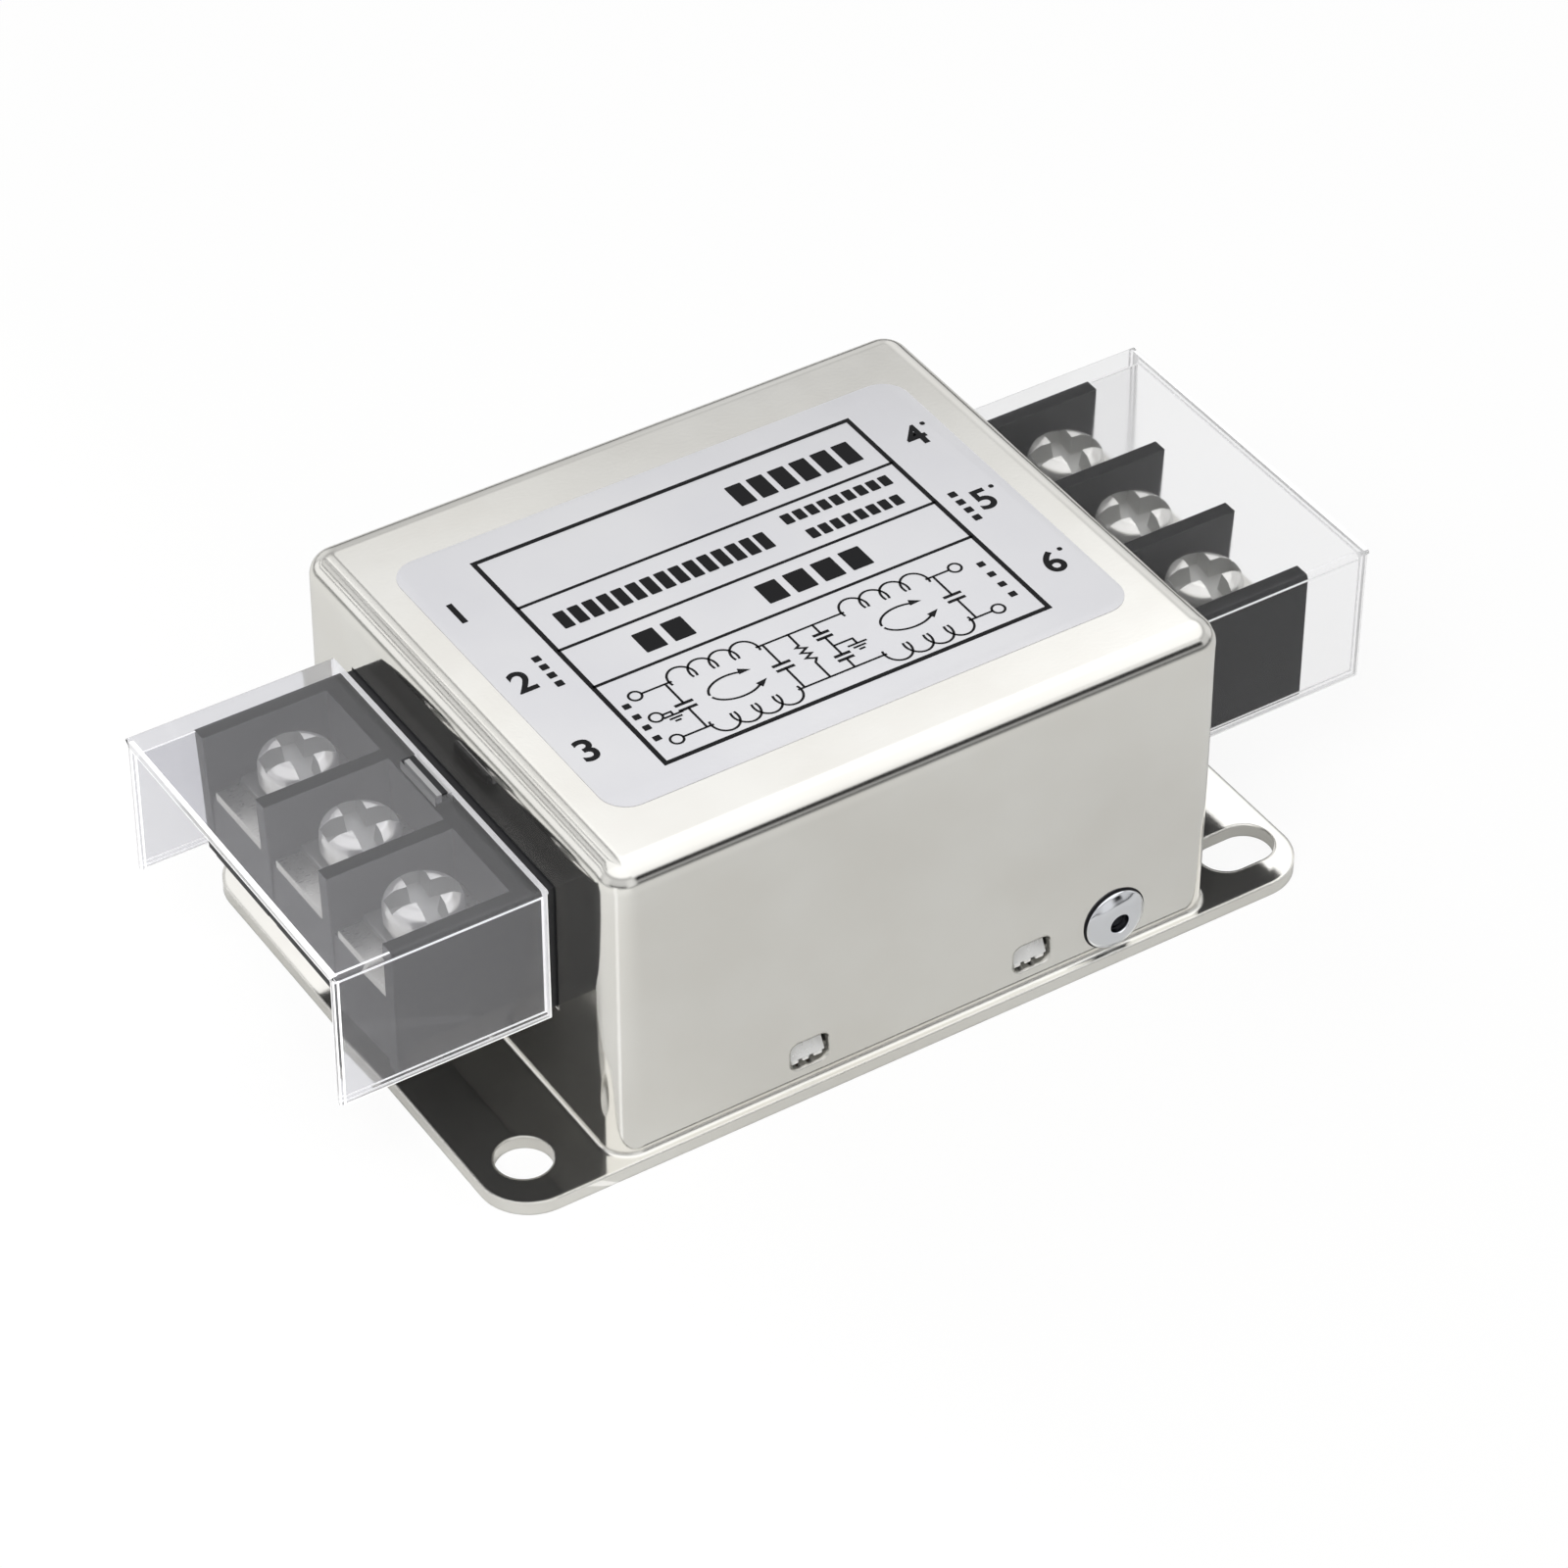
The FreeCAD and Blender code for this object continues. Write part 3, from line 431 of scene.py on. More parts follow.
# Visible solids with their edges broken
refined("bottom_cover", base_steel, 0.08)
for end, plastic, painted_glow_made in (("line", clear_hazy, painted_glow_hazy), ("load", clear, painted_glow_clear)):
    block = refined(f"{end}_terminal_block", black_moulding, 0.16, shape=shape_block)
    # the outer half of each cover catch gets the paler grey, a painted highlight
    block.data.materials.append(catch_painted_highlight)
    for face in block.data.polygons:
        if face.center.z > CATCH_LEVEL * MM and abs(face.center.x) > CATCH_SPLIT * MM:
            face.material_index = 1
    refined(f"{end}_terminal_plates", tinned, 0.1)
    refined(f"{end}_clamp_washers", washer_metal, 0.15)
    make_cover(end, plastic, painted_glow_made)

# Solids that keep their own mesh
for node, made in {
    "case": nickel, "line_earth_strap": tinned, "load_earth_strap": tinned,
    "circuit_board": laminate, "insulating_liner": fibre_sheet,
    "line_choke_core": ferrite, "load_choke_core": ferrite,
    "line_choke_windings": enamel, "load_choke_windings": enamel,
    "line_film_capacitor": film_box, "middle_film_capacitor": film_box,
    "load_film_capacitor": film_box, "film_capacitor_leads": tinned,
    "front_disc_capacitor": disc_coat, "back_disc_capacitor": disc_coat,
    "disc_capacitor_leads": tinned, "bleed_resistor": resistor_coat, "resistor_leads": tinned,
}.items():
    dress(node, made)


# Rivets: a domed head round a bore in which the broken mandrel sits; the mandrel's near-black colour paints
# the shade in the bore, and a thin dark ring at the head's foot is a painted shadow line
def make_rivets():
    mandrel = [(0, -0.75), (0.82, -0.8), (0.86, -0.9), (0.86, -1.0), (1.0, -1.0)]
    bore = [(1.0, 0.92), (1.03, 1.03), (1.1, 1.09)]
    dome = []
    for k in range(15):
        share = k / 14
        dome.append((1.2 + 1.92 * share, 1.09 - 0.72 * share ** 2.2))
    rim_and_shadow_ring = [(3.2, 0.25), (3.2, 0.06), (3.36, 0.05), (3.38, 0.01)]
    blind_end = [(1.6, 0.01), (1.6, -2.3), (2.15, -2.35), (2.2, -2.6), (2.1, -3.75), (0, -3.78)]
    bm = bmesh.new()
    revolve_into(bm, mandrel + bore + dome + rim_and_shadow_ring + blind_end, 96)
    piece = finish_mesh(bm, "rivets_dressed", aluminium)
    piece.data.materials.append(painted_shade_steel)
    for face in piece.data.polygons:
        middle = face.center / MM
        away = middle.xy.length
        # the mandrel's end and the ring round the head's foot take the near-black steel: painted shade and
        # painted shadow
        if away < 0.99 and middle.z > -1.1 or away > 3.15 and middle.z < 0.24:
            face.material_index = 1
    place = Vector((RIVET_PLACE, -CASE_HALF_WIDTH, RIVET_LEVEL)) * MM
    front = Matrix.Translation(place) @ Matrix.Rotation(math.pi / 2, 4, "X")
    other = piece.data.copy()
    piece.data.transform(front)
    other.transform(Matrix.Rotation(math.pi, 4, "Z") @ front)
    both = bmesh.new()
    both.from_mesh(piece.data)
    both.from_mesh(other)
    both.to_mesh(piece.data)
    both.free()
    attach(piece, "root")
    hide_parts("rivets")


# Terminal screws: pan head with a wide cross recess, on a spring washer; the recess's faces take a darker
# zinc, which is painted shade
def make_screw_mesh():
    bm = bmesh.new()
    corners = [
        (0, 4.0, 0), (2.5, 3.98, 0.9), (3.45, 3.45, 0.8), (3.7, 2.7, 0.7), (3.7, 1.05, 0.12), (3.25, 1.0, 0),
        (3.25, 0.0, 0.1), (2.0, 0.0, 0), (2.0, -6.3, 0.1), (1.6, -6.5, 0.1), (0, -6.5, 0),
    ]
    revolve_into(bm, rounded_profile(corners, 4), 64)
    piece = finish_mesh(bm, "screw", screw_metal, 40)
    piece.data.materials.append(painted_recess_shade)
    bm = bmesh.new()
    arm, reach = 1.15, 3.5
    outline = [(-reach, -arm), (-arm, -arm), (-arm, -reach), (arm, -reach), (arm, -arm), (reach, -arm),
               (reach, arm), (arm, arm), (arm, reach), (-arm, reach), (-arm, arm), (-reach, arm)]
    levels = []
    for inset, level in ((0.0, 4.3), (0.25, 2.1)):
        levels.append([bm.verts.new(((x - math.copysign(inset, x)) * MM, (y - math.copysign(inset, y)) * MM,
                                     level * MM)) for x, y in outline])
    top, low = levels
    bm.faces.new(top)
    bm.faces.new(list(reversed(low)))
    for i in range(len(outline)):
        j = (i + 1) % len(outline)
        bm.faces.new([top[j], top[i], low[i], low[j]])
    cutter = finish_mesh(bm, "recess", screw_metal)
    # the recess's walls and floor take the darker zinc, a painted shade
    cutter.data.materials.append(painted_recess_shade)
    for face in cutter.data.polygons:
        face.material_index = 1
    cut(piece, cutter)
    mesh = piece.data
    bm = bmesh.new()
    bm.from_mesh(mesh)
    bmesh.ops.remove_doubles(bm, verts=bm.verts, dist=0.03 * MM)
    bmesh.ops.dissolve_degenerate(bm, dist=0.02 * MM, edges=bm.edges)
    bm.to_mesh(mesh)
    bm.free()
    mesh.transform(Matrix.Rotation(math.radians(-8), 4, "Z"))
    bpy.data.objects.remove(piece)
    return mesh


def make_screws(end, sign, screw_mesh):
    both = bmesh.new()
    for pole in (-1, 0, 1):
        mesh = screw_mesh.copy()
        mesh.transform(Matrix.Translation(Vector((sign * SCREW_X, pole * POLE_PITCH, SCREW_LEVEL)) * MM))
        both.from_mesh(mesh)
        bpy.data.meshes.remove(mesh)
    piece = finish_mesh(both, f"{end}_screws_dressed", screw_metal, 32)
    piece.data.materials.append(painted_recess_shade)
    soften(piece, 0.14, 3, 34)
    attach(piece, "root")
    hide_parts(f"{end}_terminal_screws")


# Rating plate: foil with a printed frame, the circuit diagram and plain numbers
def make_plate():
    bm = bmesh.new()
    rings = []
    for inset, level in ((0.0, 0.0), (0.0, PLATE_SHEET - 0.02), (0.03, PLATE_SHEET)):
        outline = rounded_outline(PLATE_LENGTH - 2 * inset, PLATE_WIDTH - 2 * inset, PLATE_CORNER - inset)
        rings.append([bm.verts.new((x * MM, y * MM, (ROOF + level) * MM)) for x, y in outline])
    bm.faces.new(list(reversed(rings[0])))
    bm.faces.new(rings[2])
    for a, b in zip(rings, rings[1:]):
        for i in range(len(a)):
            j = (i + 1) % len(a)
            bm.faces.new([a[i], a[j], b[j], b[i]])
    piece = finish_mesh(bm, "rating_plate_foil", foil)
    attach(piece, "root")
    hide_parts("rating_plate")


class Print:
    """Flat strokes and fields of ink just above the foil, in plate coordinates in millimetres."""

    def __init__(self):
        self.bm = bmesh.new()

    def face(self, points):
        self.bm.faces.new([self.bm.verts.new((x * MM, y * MM, PRINT_TOP * MM)) for x, y in points])

    def stroke(self, points, width, closed=False):
        spots = [Vector(p) for p in points]
        count = len(spots)
        sides = []
        for i, spot in enumerate(spots):
            lead = (spot - spots[i - 1]).normalized() if i or closed else None
            trail = (spots[(i + 1) % count] - spot).normalized() if i < count - 1 or closed else None
            way = lead if trail is None else trail
            if lead is not None and trail is not None and (lead + trail).length > 1e-4:
                way = (lead + trail).normalized()
            across = Vector((-way.y, way.x))
            widen = 1.0
            if lead is not None:
                widen = 1 / max(0.4, abs(across.dot(Vector((-lead.y, lead.x)))))
            sides.append((spot + across * width / 2 * widen, spot - across * width / 2 * widen))
        for i in range(count if closed else count - 1):
            a, b = sides[i], sides[(i + 1) % count]
            self.face([a[0], a[1], b[1], b[0]])

    def arc(self, x, y, reach_x, reach_y, start, end):
        steps = 28
        points = []
        for k in range(steps + 1):
            angle = math.radians(start + (end - start) * k / steps)
            points.append((x + reach_x * math.cos(angle), y + reach_y * math.sin(angle)))
        self.stroke(points, WIRE_LINE)

    def contact(self, x, y):
        steps = 32
        points = []
        for k in range(steps):
            angle = 2 * math.pi * k / steps
            points.append((x + CONTACT_RADIUS * math.cos(angle), y + CONTACT_RADIUS * math.sin(angle)))
        self.stroke(points, WIRE_LINE, closed=True)

    def field(self, x, y, length, height, corner):
        self.face([(x + px, y + py) for px, py in rounded_outline(length, height, corner, 5)])

    def row(self, x0, x1, y, count, height):
        """Short upright bars in the place of a line of print."""
        pitch = (x1 - x0) / (count - 1 + BAR_SHARE)
        for k in range(count):
            self.field(x0 + pitch * (k + BAR_SHARE / 2), y, pitch * BAR_SHARE, height, 0.12)

    def column(self, x, y0, y1, count, width, share):
        """Bars one above another in the place of print that runs upwards."""
        pitch = (y1 - y0) / (count - 1 + share)
        for k in range(count):
            self.field(x, y0 + pitch * (k + share / 2), width, abs(pitch) * share, 0.1)

    def arrow(self, x, y, way, size):
        turn = math.radians(way)
        points = []
        for px, py in ((size, 0), (-size * 0.6, size * 0.55), (-size * 0.6, -size * 0.55)):
            points.append((x + px * math.cos(turn) - py * math.sin(turn),
                           y + px * math.sin(turn) + py * math.cos(turn)))
        self.face(points)

    def number(self, text, x, y):
        """A plain number whose strokes are a little heavier than the font's."""
        curve = bpy.data.curves.new("number", "FONT")
        curve.body = text
        curve.size = NUMBER_SIZE * MM
        curve.offset = 0.022 * NUMBER_SIZE * MM
        curve.align_x = "CENTER"
        curve.align_y = "CENTER"
        curve.resolution_u = 6
        holder = bpy.data.objects.new("number", curve)
        bpy.context.collection.objects.link(holder)
        bpy.context.view_layer.update()
        mesh = bpy.data.meshes.new_from_object(holder.evaluated_get(bpy.context.evaluated_depsgraph_get()))
        mesh.transform(Matrix.Translation((x * MM, y * MM, PRINT_TOP * MM)))
        self.bm.from_mesh(mesh)
        bpy.data.objects.remove(holder)
        bpy.data.meshes.remove(mesh)
        bpy.data.curves.remove(curve)

    def capacitor(self, x, top, bottom, plate=1.9, gap=0.75):
        middle = (top + bottom) / 2
        for edge, end in ((middle + gap / 2, top), (middle - gap / 2, bottom)):
            self.stroke([(x, end), (x, edge)], WIRE_LINE)
            self.stroke([(x - plate / 2, edge), (x + plate / 2, edge)], ROW_LINE)

    def earth(self, x, y):
        for k, reach in enumerate((1.0, 0.66, 0.32)):
            self.stroke([(x - reach, y - 0.42 * k), (x + reach, y - 0.42 * k)], WIRE_LINE)

    def coil(self, x0, x1, y, start, end):
        """Four loops between two points of a wire, with small curls between them."""
        pitch = (x1 - x0) / 4
        for k in range(4):
            self.arc(x0 + pitch * (k + 0.5), y, pitch * 0.62, 1.5, start, end)

    def choke(self, x0, x1, top, bottom):
        self.coil(x0, x1, top, 200, -20)
        self.coil(x0, x1, bottom, 160, 380)
        middle = (x0 + x1) / 2
        level = (top + bottom) / 2
        for start, end in ((60, 180), (190, 320)):
            self.arc(middle, level, 2.6, 1.6, start, end)
        self.arrow(middle + 1.7, level + 1.4, -15, 0.75)
        self.arrow(middle + 2.3, level - 0.9, 25, 0.75)


def make_print():
    art = Print()
    frame_corners = [(-FRAME_X, -FRAME_Y), (FRAME_X, -FRAME_Y), (FRAME_X, FRAME_Y), (-FRAME_X, FRAME_Y)]
    art.stroke(frame_corners, FRAME_LINE, closed=True)
    for y in ROWS:
        art.stroke([(-FRAME_X, y), (FRAME_X, y)], ROW_LINE)
    # plain bars where the print was: start, end, level, count and height, and the same for columns
    for bars in ((4.9, 18.3, 12.3, 6, 3.2), (-18.0, 4.4, 5.3, 15, 2.5), (6.9, 18.6, 6.9, 9, 1.5),
                 (7.8, 17.9, 3.9, 8, 1.5), (-13.6, -8.4, -1.3, 2, 2.9), (-0.6, 10.6, -1.3, 4, 2.9)):
        art.row(*bars)
    for x in (-22.4, 22.2):
        art.column(x, -2.6, 2.2, 4, 0.8, 0.6)
    for x in (-19.1, 18.6):
        art.column(x, -13.6, -7.8, 4, 0.75, 0.42)
    # circuit diagram of plain symbols
    top, bottom = -7.3, -14.3
    middle = (top + bottom) / 2
    for place in ((-17.7, top), (-17.7, bottom), (-17.7, middle), (16.3, top), (16.3, bottom)):
        art.contact(*place)
    art.stroke([(-17.1, middle), (-16.2, middle), (-16.2, -11.3)], WIRE_LINE)
    art.earth(-16.2, -11.3)
    for y in (top, bottom):
        for x0, x1 in ((-17.1, -13.9), (-5.1, 4.3), (13.1, 15.7)):
            art.stroke([(x0, y), (x1, y)], WIRE_LINE)
    for x in (-14.6, -4.4, 13.9):
        art.capacitor(x, top, bottom)
    for x0, x1 in ((-13.9, -5.1), (4.3, 13.1)):
        art.choke(x0, x1, top, bottom)
    zigzag = [(-1.7, top), (-1.7, -9.1)]
    for k in range(6):
        zigzag.append((-1.7 + (0.42 if k % 2 else -0.42), -9.3 - 0.42 * k))
    zigzag += [(-1.7, -11.9), (-1.7, bottom)]
    art.stroke(zigzag, WIRE_LINE)
    art.capacitor(0.9, top, middle, 1.7, 0.65)
    art.capacitor(0.9, middle, bottom, 1.7, 0.65)
    art.stroke([(0.9, middle), (2.9, middle), (2.9, middle - 0.8)], WIRE_LINE)
    art.earth(2.9, middle - 0.8)
    # plain terminal numbers, with a dot at each one of the load end
    for left, right, y in (("1", "4", 11.0), ("2", "5", -0.4), ("3", "6", -11.5)):
        art.number(left, -25.1, y)
        art.number(right, 24.3, y)
    for y in (12.4, 1.0, -10.1):
        art.field(25.9, y, 0.5, 0.5, 0.2)
    piece = finish_mesh(art.bm, "plate_print", ink, 80)
    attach(piece, "root")


# The toothed lower lips of the closing plate's leaves, seen in the can's windows
def make_window_lips():
    bm = bmesh.new()
    # place along the window, level, length and height: a lip with three teeth under it
    blocks = [(0, 4.28, 3.5, 0.34), (-1.2, 3.82, 0.95, 0.62), (0.12, 3.82, 0.75, 0.62),
              (1.28, 3.82, 0.8, 0.62)]
    for side in (-1, 1):
        for window in (-WINDOW_X, WINDOW_X):
            for x, z, length, height in blocks:
                place = Matrix.Translation(Vector((window + side * x, side * 26.5, z)) * MM)
                shape = Matrix.Diagonal((length * MM, 0.9 * MM, height * MM, 1))
                made = bmesh.ops.create_cube(bm, size=1.0, matrix=place @ shape)
                edges = dict.fromkeys(edge for vert in made["verts"] for edge in vert.link_edges)
                bmesh.ops.bevel(bm, geom=list(edges), offset=0.13 * MM, segments=2, profile=0.5,
                                affect="EDGES")
    piece = finish_mesh(bm, "window_lips", base_steel, 50)
    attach(piece, "root")


make_rivets()
make_window_lips()
screw = make_screw_mesh()
for end, sign in (("line", -1), ("load", 1)):
    make_screws(end, sign, screw)
make_plate()
make_print()


# Camera at the photograph's angle, for a square picture
SENSOR = 36
PHOTO_SIZE = 1600
FOCAL_PIXELS = 5953.383
CAMERA_PLACE = Vector((-222.0165, -347.6002, 362.6031)) * MM
CAMERA_RIGHT = Vector((0.84146537, -0.54029885, 0.00363115))
CAMERA_DOWN = Vector((-0.34809533, -0.54724166, -0.76115452))
CAMERA_FORWARD = Vector((0.41323803, 0.63922119, -0.64856041))

lens = bpy.data.cameras.new("camera")
lens.sensor_width = SENSOR
lens.lens = SENSOR * FOCAL_PIXELS / PHOTO_SIZE
lens.clip_start = 0.01
lens.clip_end = 20
camera = bpy.data.objects.new("camera", lens)
bpy.context.collection.objects.link(camera)
turn = Matrix((CAMERA_RIGHT, -CAMERA_DOWN, -CAMERA_FORWARD)).transposed()
camera.matrix_world = Matrix.Translation(CAMERA_PLACE) @ turn.to_4x4()
bpy.context.scene.camera = camera


# Floor, lamps and world; lengths in metres
class NodeTree:
    """Short ways to fill an empty node tree."""

    def __init__(self, tree):
        self.tree = tree
        tree.nodes.clear()

    def node(self, kind, operation=None, **values):
        made = self.tree.nodes.new(kind)
        if operation is not None:
            made.operation = operation
        for name, value in values.items():
            made.inputs[name.replace("_", " ")].default_value = value
        return made

    def link(self, start, end):
        self.tree.links.new(start, end)

    def math(self, operation, *values):
        """A number goes on its socket; anything else is linked to it."""
        made = self.node("ShaderNodeMath", operation)
        for socket, value in zip(made.inputs, values):
            if isinstance(value, (int, float)):
                socket.default_value = value
            else:
                self.link(value, socket)
        return made.outputs[0]

    def ramp(self, place, stops, blue=1.0):
        """Grey values over a place between 0 and 1, with this share of blue."""
        made = self.node("ShaderNodeValToRGB")
        self.link(place, made.inputs["Fac"])
        elements = made.color_ramp.elements
        for element, (position, value) in zip(elements, (stops[0], stops[-1])):
            element.position = position
            element.color = (value, value, value * blue, 1)
        for position, value in stops[1:-1]:
            elements.new(position).color = (value, value, value * blue, 1)
        return made.outputs["Color"]

    def mix(self, factor, first, second, blend="MIX"):
        made = self.node("ShaderNodeMix")
        made.data_type = "RGBA"
        made.blend_type = blend
        if isinstance(factor, (int, float)):
            made.inputs["Factor"].default_value = factor
        else:
            self.link(factor, made.inputs["Factor"])
        for name, value in (("A", first), ("B", second)):
            socket = next(held for held in made.inputs if held.name == name and held.type == "RGBA")
            if isinstance(value, (int, float)):
                socket.default_value = (value, value, value, 1)
            else:
                self.link(value, socket)
        return next(held for held in made.outputs if held.type == "RGBA")


FLOOR_RADIUS = 0.9
FLOOR_LEVEL = -0.00005
FLOOR_SIDES = 96
# The floor's tone by distance from the middle; the can's walls and flanges show it
FLOOR_TONES = [(0.0, 0.715), (0.24, 0.69), (0.27, 0.22), (0.31, 0.22), (0.36, 0.42), (1.0, 0.36)]
FLOOR_BLUE = 0.985
# A bright strip runs away from the near corner's foot at this angle in radians
CORNER_PLACE = (-0.0312, -0.0268, 0)
STRIP_ANGLE = -2.5
STRIP_HALF_ANGLE = 0.1


def make_floor():
    bm = bmesh.new()
    rim = []
    for i in range(FLOOR_SIDES):
        angle = 2 * math.pi * i / FLOOR_SIDES
        spot = (FLOOR_RADIUS * math.cos(angle), FLOOR_RADIUS * math.sin(angle), FLOOR_LEVEL)
        rim.append(bm.verts.new(spot))
    bm.faces.new(rim)
    made = bpy.data.materials.new("pale_floor")
    made.use_nodes = True
    nodes = NodeTree(made.node_tree)
    place = nodes.node("ShaderNodeNewGeometry").outputs["Position"]
    path = nodes.node("ShaderNodeLightPath").outputs
    reach = nodes.node("ShaderNodeVectorMath", "LENGTH")
    nodes.link(place, reach.inputs[0])
    tone = nodes.ramp(reach.outputs["Value"], FLOOR_TONES, FLOOR_BLUE)
    # paler at the left, as the front wall shows it
    apart = nodes.node("ShaderNodeSeparateXYZ")
    paler = nodes.node("ShaderNodeMapRange", From_Min=-0.055, From_Max=-0.015, To_Min=1.24, To_Max=1.0)
    toned = nodes.node("ShaderNodeVectorMath", "SCALE")
    nodes.link(place, apart.inputs[0])
    nodes.link(apart.outputs["X"], paler.inputs["Value"])
    nodes.link(tone, toned.inputs[0])
    nodes.link(paler.outputs["Result"], toned.inputs["Scale"])
    lit = nodes.node("ShaderNodeBsdfDiffuse")
    nodes.link(toned.outputs["Vector"], lit.inputs["Color"])
    # the camera sees it nearly white, with the object's shadow
    either = nodes.math("MAXIMUM", path["Is Camera Ray"], path["Is Transmission Ray"])
    seen = nodes.math("MULTIPLY", either, 0.85)
    # a bright strip that the can's upright corner shows as a line of light
    aside = nodes.node("ShaderNodeVectorMath", "SUBTRACT")
    aside.inputs[1].default_value = CORNER_PLACE
    parts = nodes.node("ShaderNodeSeparateXYZ")
    nodes.link(place, aside.inputs[0])
    nodes.link(aside.outputs[0], parts.inputs[0])
    angle = nodes.math("ARCTAN2", parts.outputs["Y"], parts.outputs["X"])
    strip = nodes.math("COMPARE", angle, STRIP_ANGLE, STRIP_HALF_ANGLE)
    shown = nodes.math("MULTIPLY", strip, path["Is Glossy Ray"])
    glow = nodes.node("ShaderNodeEmission", Color=(1, 1, 1, 1), Strength=1.05)
    mix = nodes.node("ShaderNodeMixShader")
    out = nodes.node("ShaderNodeOutputMaterial")
    nodes.link(nodes.math("MAXIMUM", seen, shown), mix.inputs["Fac"])
    nodes.link(lit.outputs[0], mix.inputs[1])
    nodes.link(glow.outputs[0], mix.inputs[2])
    nodes.link(mix.outputs[0], out.inputs["Surface"])
    floor = finish_mesh(bm, "floor", made)


def make_lamp(name, place, size, power):
    data = bpy.data.lights.new(name, "AREA")
    data.shape = "RECTANGLE"
    data.size, data.size_y = size
    data.energy = power
    lamp = bpy.data.objects.new(name, data)
    bpy.context.collection.objects.link(lamp)
    lamp.location = place
    lamp.rotation_mode = "QUATERNION"
    lamp.rotation_quaternion = (-Vector(place)).to_track_quat("-Z", "Y")
    lamp.visible_glossy = False
    lamp.visible_transmission = False


# The room by height, where 0 is straight down, 0.5 level and 1 straight up: below the
# floor's edge, a thin dark gap, walls, ceiling
HORIZON = [(0.0, 0.4), (0.439, 0.36), (0.474, 0.1), (0.487, 0.02), (0.512, 0.02)]
WALLS = HORIZON + [
    (0.53, 0.5), (0.60, 0.62), (0.72, 0.66), (0.78, 0.5), (0.794, 0.55), (0.802, 0.72), (0.808, 0.8),
    (0.8187, 0.95), (0.828, 1.05), (0.847, 1.2), (1.0, 1.3),
]
# In front, at the right, a black curtain hangs over a grey one
CURTAINS = HORIZON + [
    (0.53, 0.32), (0.60, 0.36), (0.615, 0.01), (0.727, 0.01), (0.742, 0.9), (0.80, 1.1), (1.0, 1.3),
]
# At the left, behind, stand the struts of a tall window
STRUTS = [
    (0.0, 0.4), (0.47, 0.36), (0.485, 0.05), (0.497, 0.05), (0.51, 1.0), (0.678, 1.05), (0.683, 0.02),
    (0.699, 0.02), (0.704, 1.15), (0.745, 1.15), (0.75, 0.1), (0.765, 0.1), (0.77, 0.9), (0.778, 0.45),
    (0.782, 0.95), (0.793, 0.95), (0.797, 0.45), (0.801, 0.95), (0.811, 0.4), (0.815, 0.9), (0.824, 0.9),
    (0.829, 0.1), (0.841, 0.1), (0.848, 1.1), (1.0, 1.2),
]
# The room by direction, where 0.5 is +Y and the values grow towards +X: the wall behind
# grows brighter from left to right, and the ceiling lights over it have upright bars
SIDES = [
    (0.0, 1.0), (0.36, 1.0), (0.56, 0.9), (0.5778, 1.15), (0.5806, 1.2), (0.5858, 1.06), (0.5956, 1.13),
    (0.60, 1.28), (0.6056, 1.42), (0.63, 1.35), (0.66, 1.2), (0.75, 1.0), (1.0, 1.0),
]
BARS = [
    (0.0, 1.0), (0.455, 1.0), (0.46, 0.15), (0.468, 0.15), (0.472, 1.1), (0.49, 1.1), (0.495, 0.35),
    (0.50, 0.95), (0.512, 0.95), (0.515, 0.3), (0.52, 0.95), (0.53, 0.9), (0.533, 0.35), (0.538, 0.9),
    (0.545, 0.9), (0.548, 0.2), (0.556, 0.2), (0.56, 1.0), (1.0, 1.0),
]
# Where the curtains and the struts stand, and which heights are the ceiling or low
CURTAIN_SPAN = [(0.0, 0), (0.893, 0), (0.907, 1), (0.96, 1), (0.975, 0), (1.0, 0)]
STRUT_SPAN = [(0.0, 0), (0.30, 0), (0.325, 1), (0.44, 1), (0.455, 0), (1.0, 0)]
CEILING = [(0.0, 0), (0.785, 0), (0.81, 1), (1.0, 1)]
LOW = [(0.0, 1), (0.70, 1), (0.76, 0), (1.0, 0)]


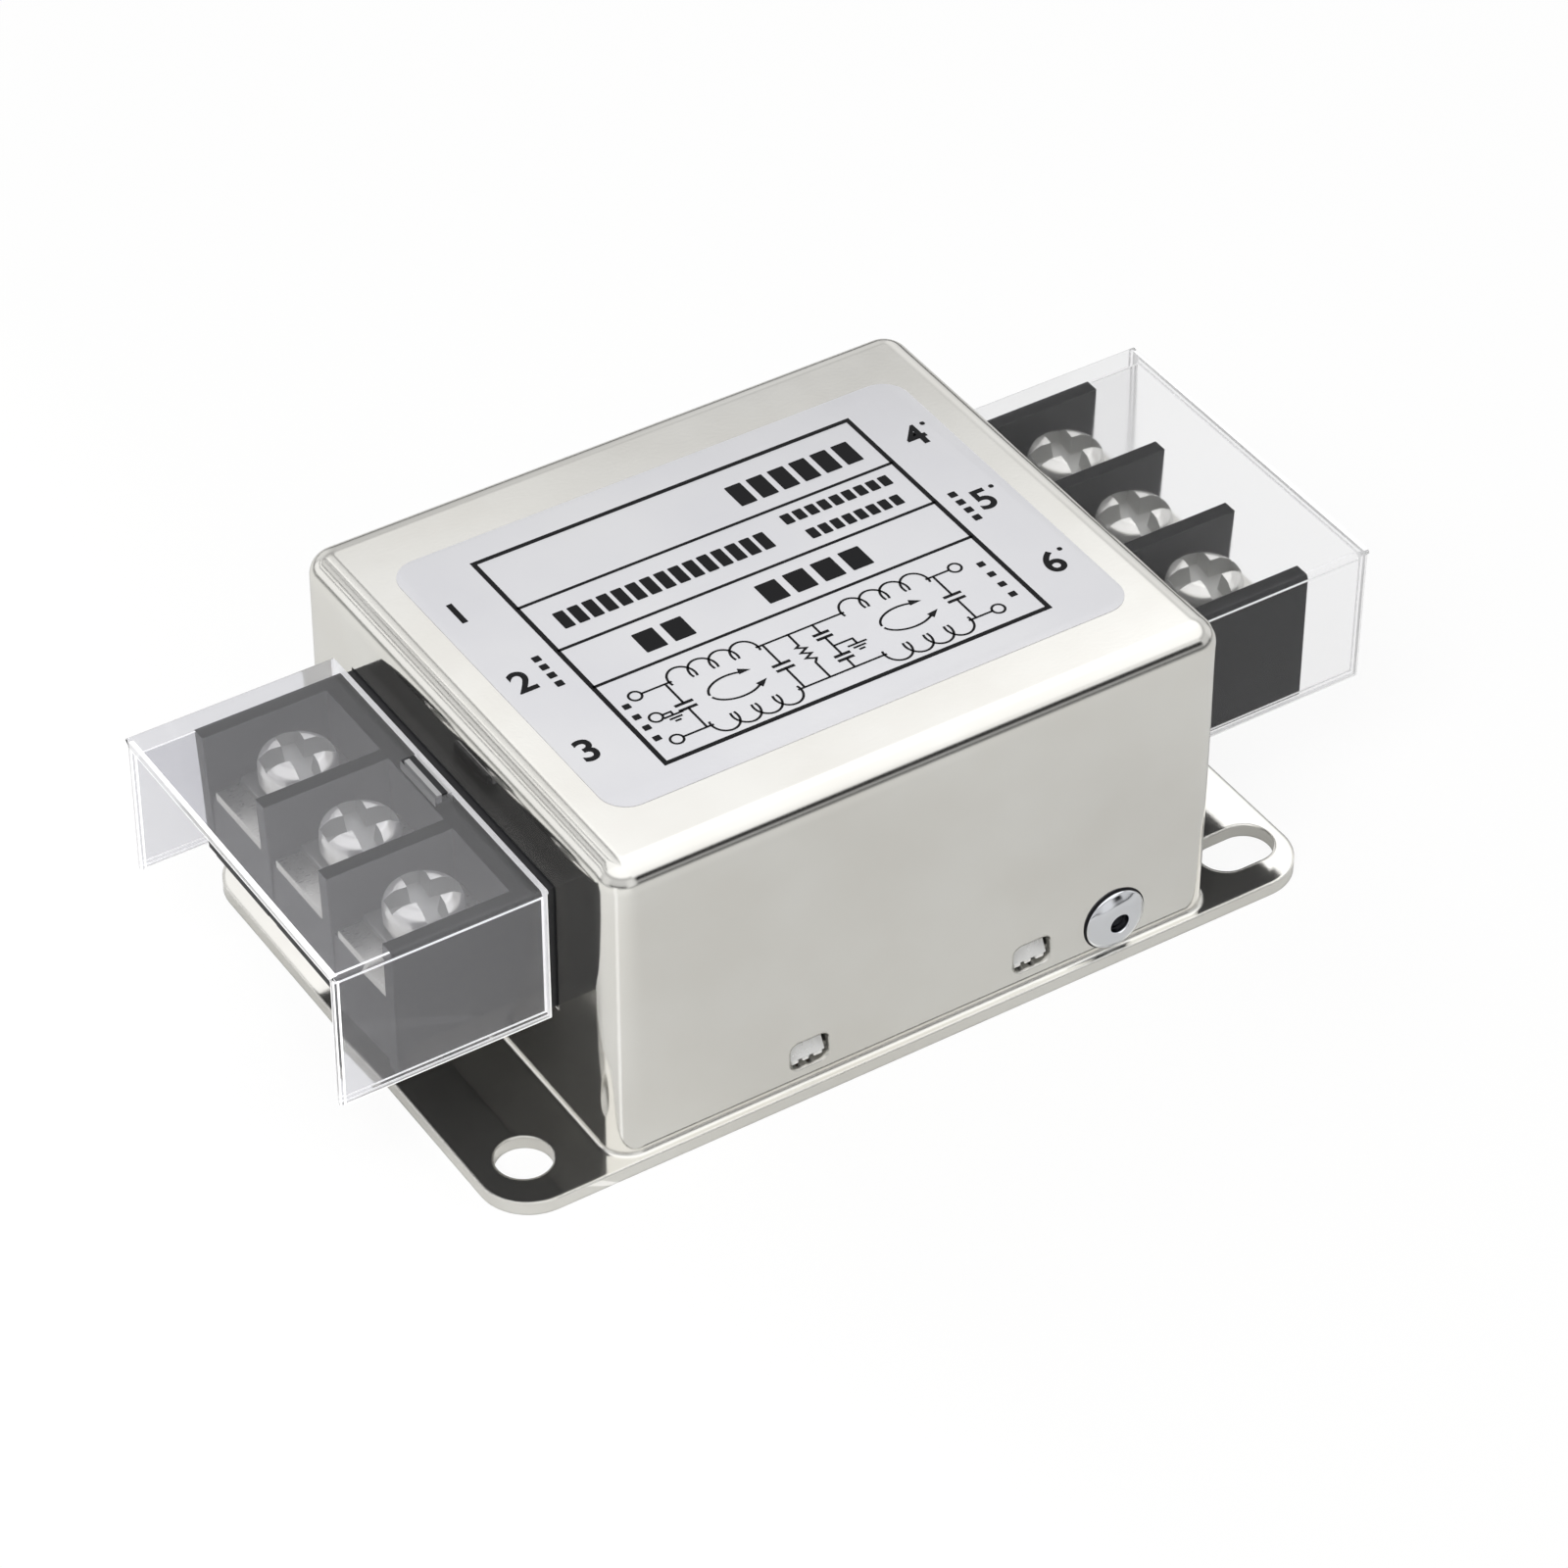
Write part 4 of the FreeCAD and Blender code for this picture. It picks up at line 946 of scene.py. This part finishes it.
def make_world():
    """White to the camera; to metal a white room with dark gaps near the horizon."""
    world = bpy.data.worlds.new("room")
    world.use_nodes = True
    bpy.context.scene.world = world
    nodes = NodeTree(world.node_tree)
    split = nodes.node("ShaderNodeSeparateXYZ")
    nodes.link(nodes.node("ShaderNodeTexCoord").outputs["Generated"], split.inputs[0])
    height = nodes.math("MULTIPLY_ADD", split.outputs["Z"], 0.5, 0.5)
    azimuth = nodes.math("ARCTAN2", split.outputs["X"], split.outputs["Y"])
    share = nodes.math("MULTIPLY_ADD", azimuth, 0.5 / math.pi, 0.5)
    room = nodes.mix(nodes.ramp(share, CURTAIN_SPAN), nodes.ramp(height, WALLS), nodes.ramp(height, CURTAINS))
    room = nodes.mix(1.0, room, nodes.ramp(share, SIDES), "MULTIPLY")
    bars = nodes.mix(nodes.ramp(height, CEILING), 1.0, nodes.ramp(share, BARS))
    room = nodes.mix(1.0, room, bars, "MULTIPLY")
    room = nodes.mix(nodes.ramp(share, STRUT_SPAN), room, nodes.ramp(height, STRUTS))
    # the four straight views see a plain wall
    fourfold = nodes.math("COSINE", nodes.math("MULTIPLY", azimuth, 4.0))
    straight = nodes.node("ShaderNodeMapRange", From_Min=0.1, From_Max=0.85, To_Min=0.0, To_Max=1.0)
    nodes.link(fourfold, straight.inputs["Value"])
    plain = nodes.math("MULTIPLY", straight.outputs["Result"], nodes.ramp(height, LOW))
    room = nodes.mix(plain, room, 0.8)
    # matt surfaces see an even, weaker room
    path = nodes.node("ShaderNodeLightPath").outputs
    shiny = nodes.math("MAXIMUM", path["Is Glossy Ray"], path["Is Transmission Ray"])
    seen = nodes.mix(path["Is Camera Ray"], nodes.mix(shiny, 0.5, room), 1.0)
    back = nodes.node("ShaderNodeBackground")
    out = nodes.node("ShaderNodeOutputWorld")
    nodes.link(seen, back.inputs["Color"])
    nodes.link(back.outputs[0], out.inputs["Surface"])


make_floor()
make_world()
make_lamp("key", (-0.5, -0.35, 0.75), (0.5, 0.5), 4.5)
make_lamp("fill", (0.7, -0.6, 0.5), (0.5, 0.5), 1.5)
make_lamp("back", (0.3, 0.8, 0.6), (0.6, 0.4), 1.5)

bpy.context.scene.view_settings.view_transform = "Standard"
bpy.context.view_layer.update()
